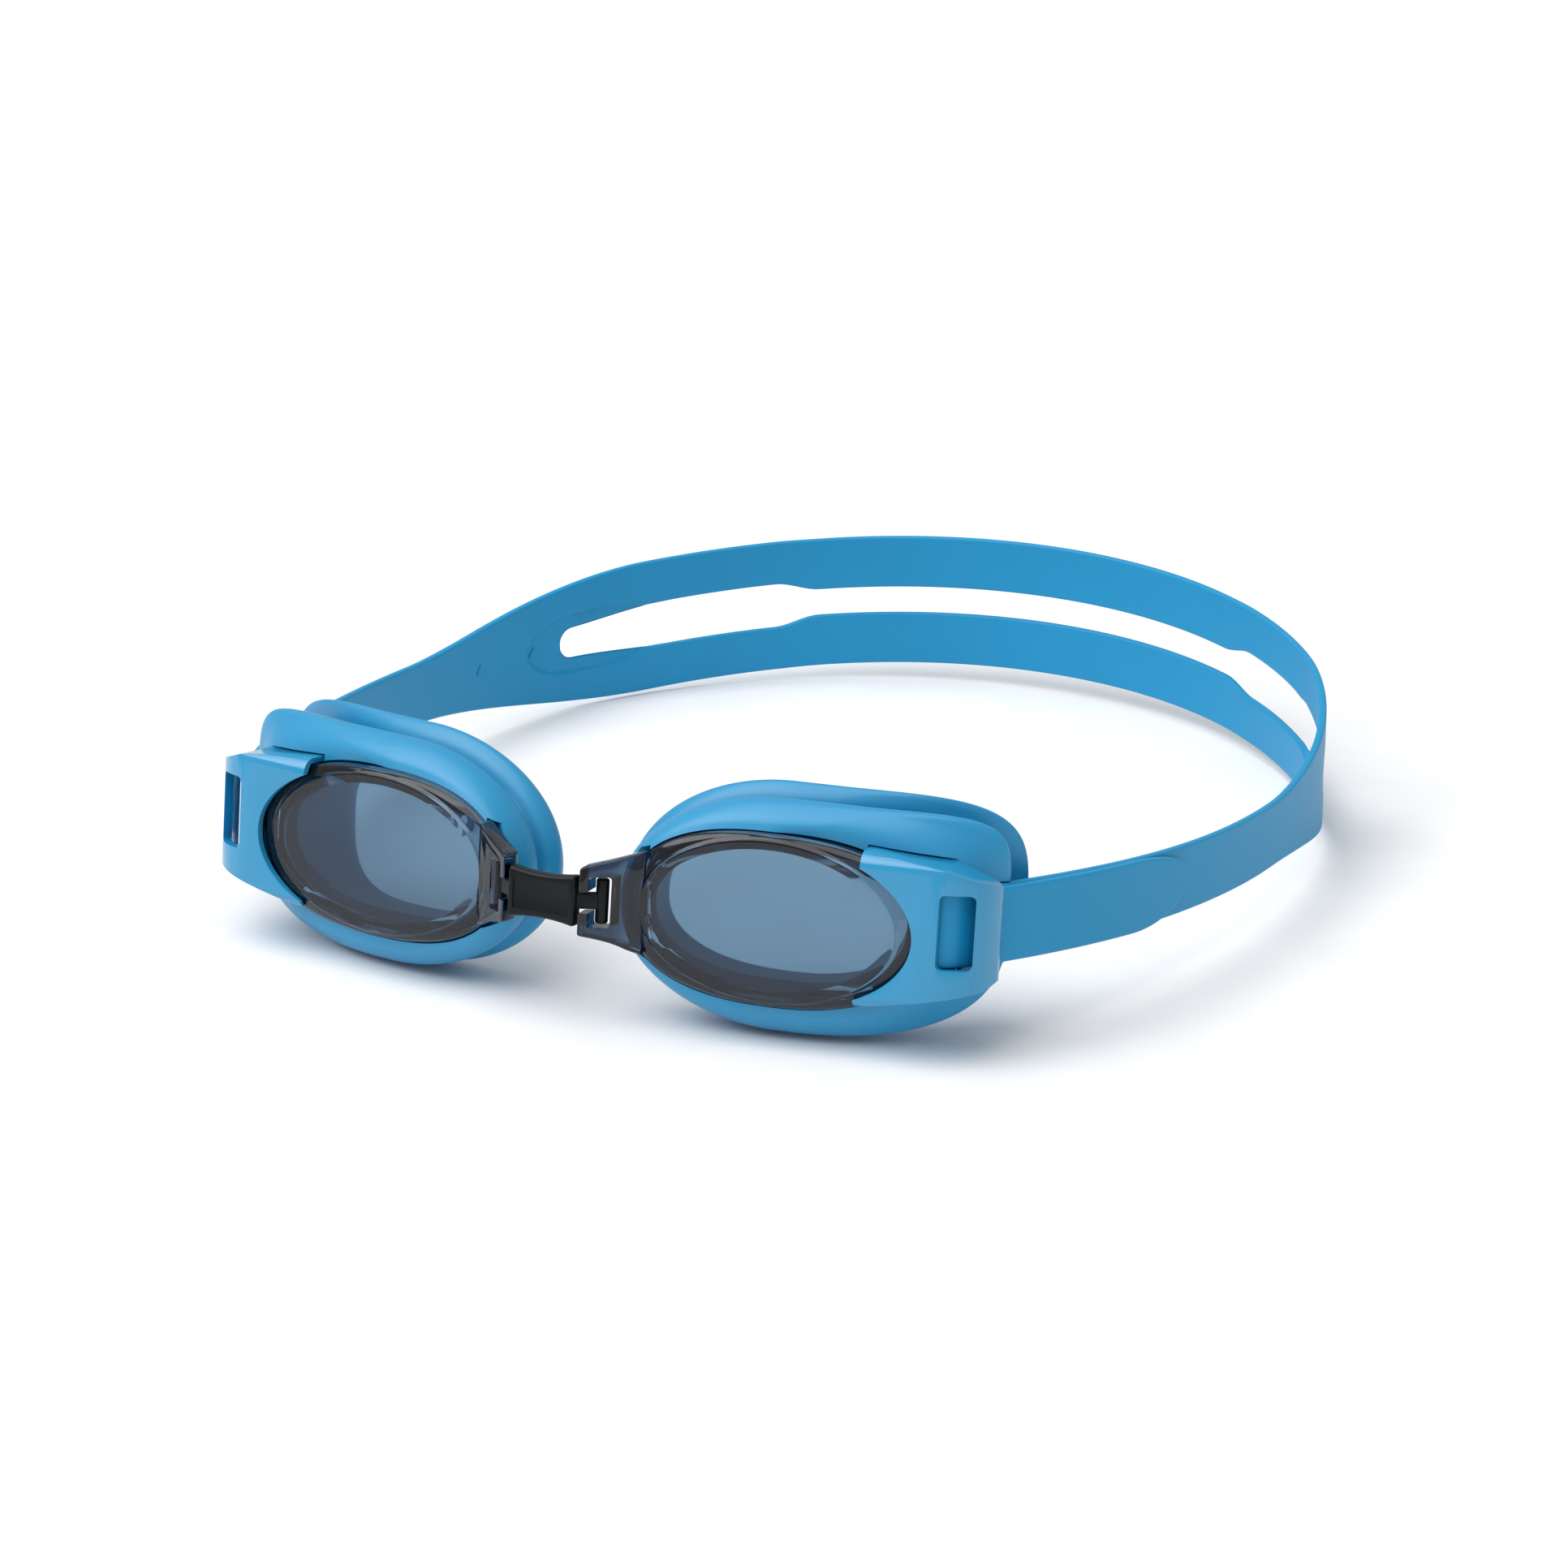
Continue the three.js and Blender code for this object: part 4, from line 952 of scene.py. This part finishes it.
def moulded(name, colour, roughness, grain_strength=0.05, coat=0.0, specular=0.5):
    """An opaque moulded plastic or silicone."""
    if name in bpy.data.materials:
        return bpy.data.materials[name]
    material, nodes, links, shader = new_material(name)
    look = nodes.new("ShaderNodeGroup")
    look.node_tree = surface_group()
    look.inputs["Colour"].default_value = (*colour, 1)
    look.inputs["Roughness"].default_value = roughness
    look.inputs["Grain size"].default_value = GRAIN_SCALE
    bump = nodes.new("ShaderNodeBump")
    bump.inputs["Strength"].default_value = grain_strength
    bump.inputs["Distance"].default_value = GRAIN_DEPTH
    links.new(look.outputs["Colour"], shader.inputs["Base Color"])
    links.new(look.outputs["Roughness"], shader.inputs["Roughness"])
    links.new(look.outputs["Height"], bump.inputs["Height"])
    links.new(bump.outputs["Normal"], shader.inputs["Normal"])
    shader.inputs["Coat Weight"].default_value = coat
    shader.inputs["Coat Roughness"].default_value = COAT_ROUGHNESS
    shader.inputs["Specular IOR Level"].default_value = specular
    return material


def tinted_glass(name, colour, painted_shade_colour):
    """The lens plastic, with painted shade: its colour turns darker where the mesh attribute "edge" is high,
    on the shoulder, wall and socket, in place of the dark look of thick plastic and the shaded gutter round
    the window.
    """
    material, nodes, links, shader = new_material(name)
    # the attribute "edge" holds the painted shade of the shoulder, wall and socket
    edge = nodes.new("ShaderNodeAttribute")
    edge.attribute_name = "edge"
    tint = nodes.new("ShaderNodeMix")
    tint.data_type = "RGBA"
    tint.inputs["A"].default_value = (*colour, 1)
    tint.inputs["B"].default_value = (*painted_shade_colour, 1)
    links.new(edge.outputs["Fac"], tint.inputs["Factor"])
    links.new(tint.outputs["Result"], shader.inputs["Base Color"])
    shader.inputs["Roughness"].default_value = LENS_ROUGHNESS
    shader.inputs["IOR"].default_value = LENS_IOR
    shader.inputs["Transmission Weight"].default_value = 1.0
    return material


def mark_painted_shade(made, side):
    """Writes the painted shade of each point of a lens: how much it belongs to its shoulder, wall or socket,
    not to its window.
    """
    to_cup = CUP.inverted() @ Matrix.Diagonal((-1 if side == "right" else 1, 1, 1, 1))
    values = []
    for vertex in made.data.vertices:
        x, depth, z = to_cup @ (vertex.co / MM)
        past_window = hypot(x / (WINDOW[0] + 0.1), z / (WINDOW[1] + 0.1))
        shoulder = SHOULDER_PAINTED_SHADE * smoothstep(past_window, SHOULDER_PAINTED_SHADE_START, 1.0)
        socket = smoothstep(-x, SOCKET_ROOT + 0.5, WALL["nose"] + 0.5)
        values.append(max(shoulder, socket))
    # the painted shade is stored in the attribute "edge"
    made.data.attributes.new("edge", "FLOAT", "POINT").data.foreach_set("value", values)


# ------------ settings and stage


def linear(red, green, blue):
    """A screen colour, 0 to 255, as scene colour."""
    return tuple(
        value / 12.92 if value <= 0.04045 else ((value + 0.055) / 1.055) ** 2.4
        for value in (red / 255, green / 255, blue / 255)
    )


def edge_setting(name, what, default, least, most):
    described = f"Rounding of {what}, mm"
    return FloatProperty(name=name, description=described, default=default, min=least, max=most)


def colour_setting(name, described, default):
    return FloatVectorProperty(name=name, description=described, subtype="COLOR", default=default)


class GogglesSettings(bpy.types.PropertyGroup):
    lens_steps: IntProperty(name="Lens steps", description="Points round each lens", default=160, min=32)
    pad_steps: IntProperty(name="Pad steps", description="Sections round each pad", default=160, min=48)
    ledge_round: edge_setting("Window edge", "the lens window's edge", 0.35, 0.1, 1)
    socket_round: edge_setting("Socket edge", "the nose socket's edges", 0.45, 0.1, 1)
    clip_round: edge_setting("Clip edge", "the side clip's edges", 0.28, 0.05, 0.5)
    belt_round: edge_setting("Bridge edge", "the nose bridge's edges", 0.6, 0.1, 1)
    strap_colour: colour_setting("Strap", "Silicone of the strap", linear(16, 141, 191))
    pad_colour: colour_setting("Pads", "Silicone of the pads", linear(28, 141, 189))
    clip_colour: colour_setting("Clips", "Plastic of the side clips", linear(34, 141, 188))
    bridge_colour: colour_setting("Bridge", "Plastic of the nose bridge", linear(10, 13, 17))
    lens_colour: colour_setting("Lenses", "Tint of the lenses", linear(95, 131, 158))
    # painted shade: the darker tint painted on the lenses' shoulders, walls and sockets
    lens_painted_shade_colour: colour_setting("Lens edges", "Tint of the lenses seen edge on", linear(28, 52, 80))
    floor_colour: colour_setting("Floor", "The floor under the goggles", (0.9, 0.9, 0.9))


def settings():
    return bpy.context.scene.goggles


def add_light(name, kind, place, power):
    """A soft light that looks at the goggles."""
    light = bpy.data.lights.new(name, kind)
    light.energy = power
    if kind == "SUN":
        light.angle = SUN_SPREAD
    else:
        light.size = LAMP_SIZE
    made = linked(name, light)
    made.location = place
    made.rotation_euler = (-Vector(place)).to_track_quat("-Z", "Y").to_euler()


def add_camera():
    """The camera looks at the middle between the lenses from above, ahead and to one side."""
    turn, height = radians(CAMERA_TURN), radians(CAMERA_HEIGHT)
    ahead = Vector((sin(turn) * cos(height), -cos(turn) * cos(height), sin(height)))
    right = Vector((cos(turn), sin(turn), 0))
    up = ahead.cross(right)
    level = Matrix.Rotation(radians(CAMERA_LEVEL), 3, "X")
    right, up, ahead = level @ right, level @ up, level @ ahead
    middle = (Vector(MOUNTS["left_lens_front"]["pos_m"]) + Vector(MOUNTS["right_lens_front"]["pos_m"])) / 2
    across, rise, away = CAMERA_OFFSET
    camera = bpy.data.cameras.new("camera")
    camera.sensor_width = 36.0
    camera.lens = CAMERA_LENS
    made = linked("camera", camera)
    matrix = Matrix((right, up, ahead)).transposed().to_4x4()
    matrix.translation = middle + (right * across + up * rise + ahead * away) * MM
    made.matrix_world = matrix
    bpy.context.scene.camera = made


def add_floor(colour):
    bm = bmesh.new()
    bmesh.ops.create_grid(bm, x_segments=1, y_segments=1, size=FLOOR_SIZE)
    floor = linked("floor", mesh_from("floor", bm))
    floor.data.materials.append(moulded("floor", colour, FLOOR_ROUGHNESS, grain_strength=0.0))


# ------------ operators


def on_both_sides(name, bm, material):
    """A left piece from a bmesh and its mirrored right one. Yields each object with its side's name."""
    other = mirrored(bm)
    for side, half in zip(SIDES, (bm, other)):
        made = piece(f"{side}_{name}_finish", half, material)
        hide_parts(f"{side}_{name}")
        yield side, made


def strap_material():
    return moulded("strap silicone", settings().strap_colour, 0.42, grain_strength=0.04, specular=0.35)


def metres(distance):
    return strap_point(distance)[0] * MM


def bent(made, start, end, side):
    """Bakes the piece's place into its mesh. The points at two distances along the strap are worked out, but
    nothing uses them.
    """
    flip = Vector((-1 if side == "right" else 1, 1, 1))
    metres(start) * flip
    metres(end) * flip
    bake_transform(made)


class GOGGLES_OT_lenses(bpy.types.Operator):
    """Adds the two lens cups."""

    bl_idname = "goggles.lenses"
    bl_label = "Lenses"

    def execute(self, context):
        glass = tinted_glass("tinted lens", settings().lens_colour, settings().lens_painted_shade_colour)
        lens = placed(lens_solid(settings()), CUP)
        for side, made in on_both_sides("lens", lens, glass):
            mark_painted_shade(made, side)
            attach(made, f"{side}_cup")
        return {"FINISHED"}


class GOGGLES_OT_pads(bpy.types.Operator):
    """Adds the two soft pads."""

    bl_idname = "goggles.pads"
    bl_label = "Pads"

    def execute(self, context):
        silicone = moulded("pad silicone", settings().pad_colour, 0.38, grain_strength=0.05, coat=0.15)
        pad = placed(pad_solid(settings()), CUP)
        for side, made in on_both_sides("pad", pad, silicone):
            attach(made, f"{side}_cup")
        return {"FINISHED"}


class GOGGLES_OT_clips(bpy.types.Operator):
    """Adds the two side clips with their strap bars."""

    bl_idname = "goggles.clips"
    bl_label = "Side clips"

    def execute(self, context):
        plastic = moulded("clip plastic", settings().clip_colour, 0.16, grain_strength=0.01, coat=0.3)
        clip = placed(clip_solid(settings()), CUP)
        for side, made in on_both_sides("clip", clip, plastic):
            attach(made, f"{side}_cup")
        return {"FINISHED"}


class GOGGLES_OT_bridge(bpy.types.Operator):
    """Adds the nose bridge with its two hooks."""

    bl_idname = "goggles.bridge"
    bl_label = "Nose bridge"

    def execute(self, context):
        plastic = moulded("bridge plastic", settings().bridge_colour, 0.3, grain_strength=0.01, specular=0.22)
        made = piece("nose_bridge_finish", bridge_solid(settings()), plastic)
        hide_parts("nose_bridge")
        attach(made, "bridge")
        return {"FINISHED"}


class GOGGLES_OT_strap_ends(bpy.types.Operator):
    """Adds the strap's loops round the bars, and its loose tails."""

    bl_idname = "goggles.strap_ends"
    bl_label = "Strap ends"

    def execute(self, context):
        silicone = strap_material()
        for side, made in on_both_sides("strap_loop", loop_solid(), silicone):
            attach(made, f"{side}_cup")
        for side, made in on_both_sides("strap_tail", tail_solid(), silicone):
            bent(made, ARM_START, CONVERGE_AT, side)
        return {"FINISHED"}


class GOGGLES_OT_arms(bpy.types.Operator):
    """Adds the strap's arms, up to where it splits."""

    bl_idname = "goggles.arms"
    bl_label = "Strap arms"

    def execute(self, context):
        silicone = strap_material()
        front = strip(spaced(ARM_START, ARM_BREAK, 60), shift=arm_bend)
        for side, made in on_both_sides("arm_front", front, silicone):
            bent(made, ARM_START, ARM_BREAK, side)
        rear = strip(spaced(ARM_BREAK, JUNCTION_START, 44))
        for side, made in on_both_sides("arm_rear", rear, silicone):
            bent(made, GIVE_START, JUNCTION_START, side)
        for side, made in on_both_sides("strap_junction", junction_solid(), silicone):
            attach(made, "strap_rear")
        return {"FINISHED"}


class GOGGLES_OT_bands(bpy.types.Operator):
    """Adds the upper and the lower band round the back of the head."""

    bl_idname = "goggles.bands"
    bl_label = "Head bands"

    def execute(self, context):
        silicone = strap_material()
        distances = spaced(JUNCTION_END, 2 * HALF_STRAP - JUNCTION_END, 180)
        upper = strip(distances, lower=slot_half, relief=slot_rim)
        lower = strip(distances, upper=lower_slot, relief=slot_rim)
        for name, bm in (("upper", upper), ("lower", lower)):
            made = piece(f"{name}_band_finish", bm, silicone)
            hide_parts(f"{name}_band")
            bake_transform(made)
        return {"FINISHED"}


class GOGGLES_OT_stage(bpy.types.Operator):
    """Adds the floor, the lights and the camera."""

    bl_idname = "goggles.stage"
    bl_label = "Stage"

    def execute(self, context):
        scene = context.scene
        scene.view_settings.view_transform = "Standard"
        add_floor(settings().floor_colour)
        world = bpy.data.worlds.new("studio")
        world.use_nodes = True
        background = world.node_tree.nodes["Background"]
        background.inputs["Color"].default_value = (1, 1, 1, 1)
        background.inputs["Strength"].default_value = WORLD_STRENGTH
        scene.world = world
        add_light("sky light", "SUN", SUN_PLACE, SUN_POWER)
        add_light("window light", "AREA", LAMP_PLACE, LAMP_POWER)
        add_camera()
        return {"FINISHED"}


OPERATORS = (
    GOGGLES_OT_lenses, GOGGLES_OT_pads, GOGGLES_OT_clips, GOGGLES_OT_bridge,
    GOGGLES_OT_strap_ends, GOGGLES_OT_arms, GOGGLES_OT_bands, GOGGLES_OT_stage,
)


class GOGGLES_PT_panel(bpy.types.Panel):
    """Sizes, colours and the buttons that build each piece."""

    bl_idname = "GOGGLES_PT_panel"
    bl_label = "Swim goggles"
    bl_space_type = "VIEW_3D"
    bl_region_type = "UI"
    bl_category = "Goggles"

    def draw(self, context):
        for name in GogglesSettings.__annotations__:
            self.layout.prop(context.scene.goggles, name)
        for operator in OPERATORS:
            self.layout.operator(operator.bl_idname)


def register():
    bpy.utils.register_class(GogglesSettings)
    for operator in OPERATORS:
        bpy.utils.register_class(operator)
    bpy.utils.register_class(GOGGLES_PT_panel)
    bpy.types.Scene.goggles = PointerProperty(type=GogglesSettings)


def unregister():
    del bpy.types.Scene.goggles
    bpy.utils.unregister_class(GOGGLES_PT_panel)
    for operator in reversed(OPERATORS):
        bpy.utils.unregister_class(operator)
    bpy.utils.unregister_class(GogglesSettings)


def main():
    register()
    for name in ("lenses", "pads", "clips", "bridge", "strap_ends", "arms", "bands", "stage"):
        getattr(bpy.ops.goggles, name)()


if __name__ == "__main__":
    main()
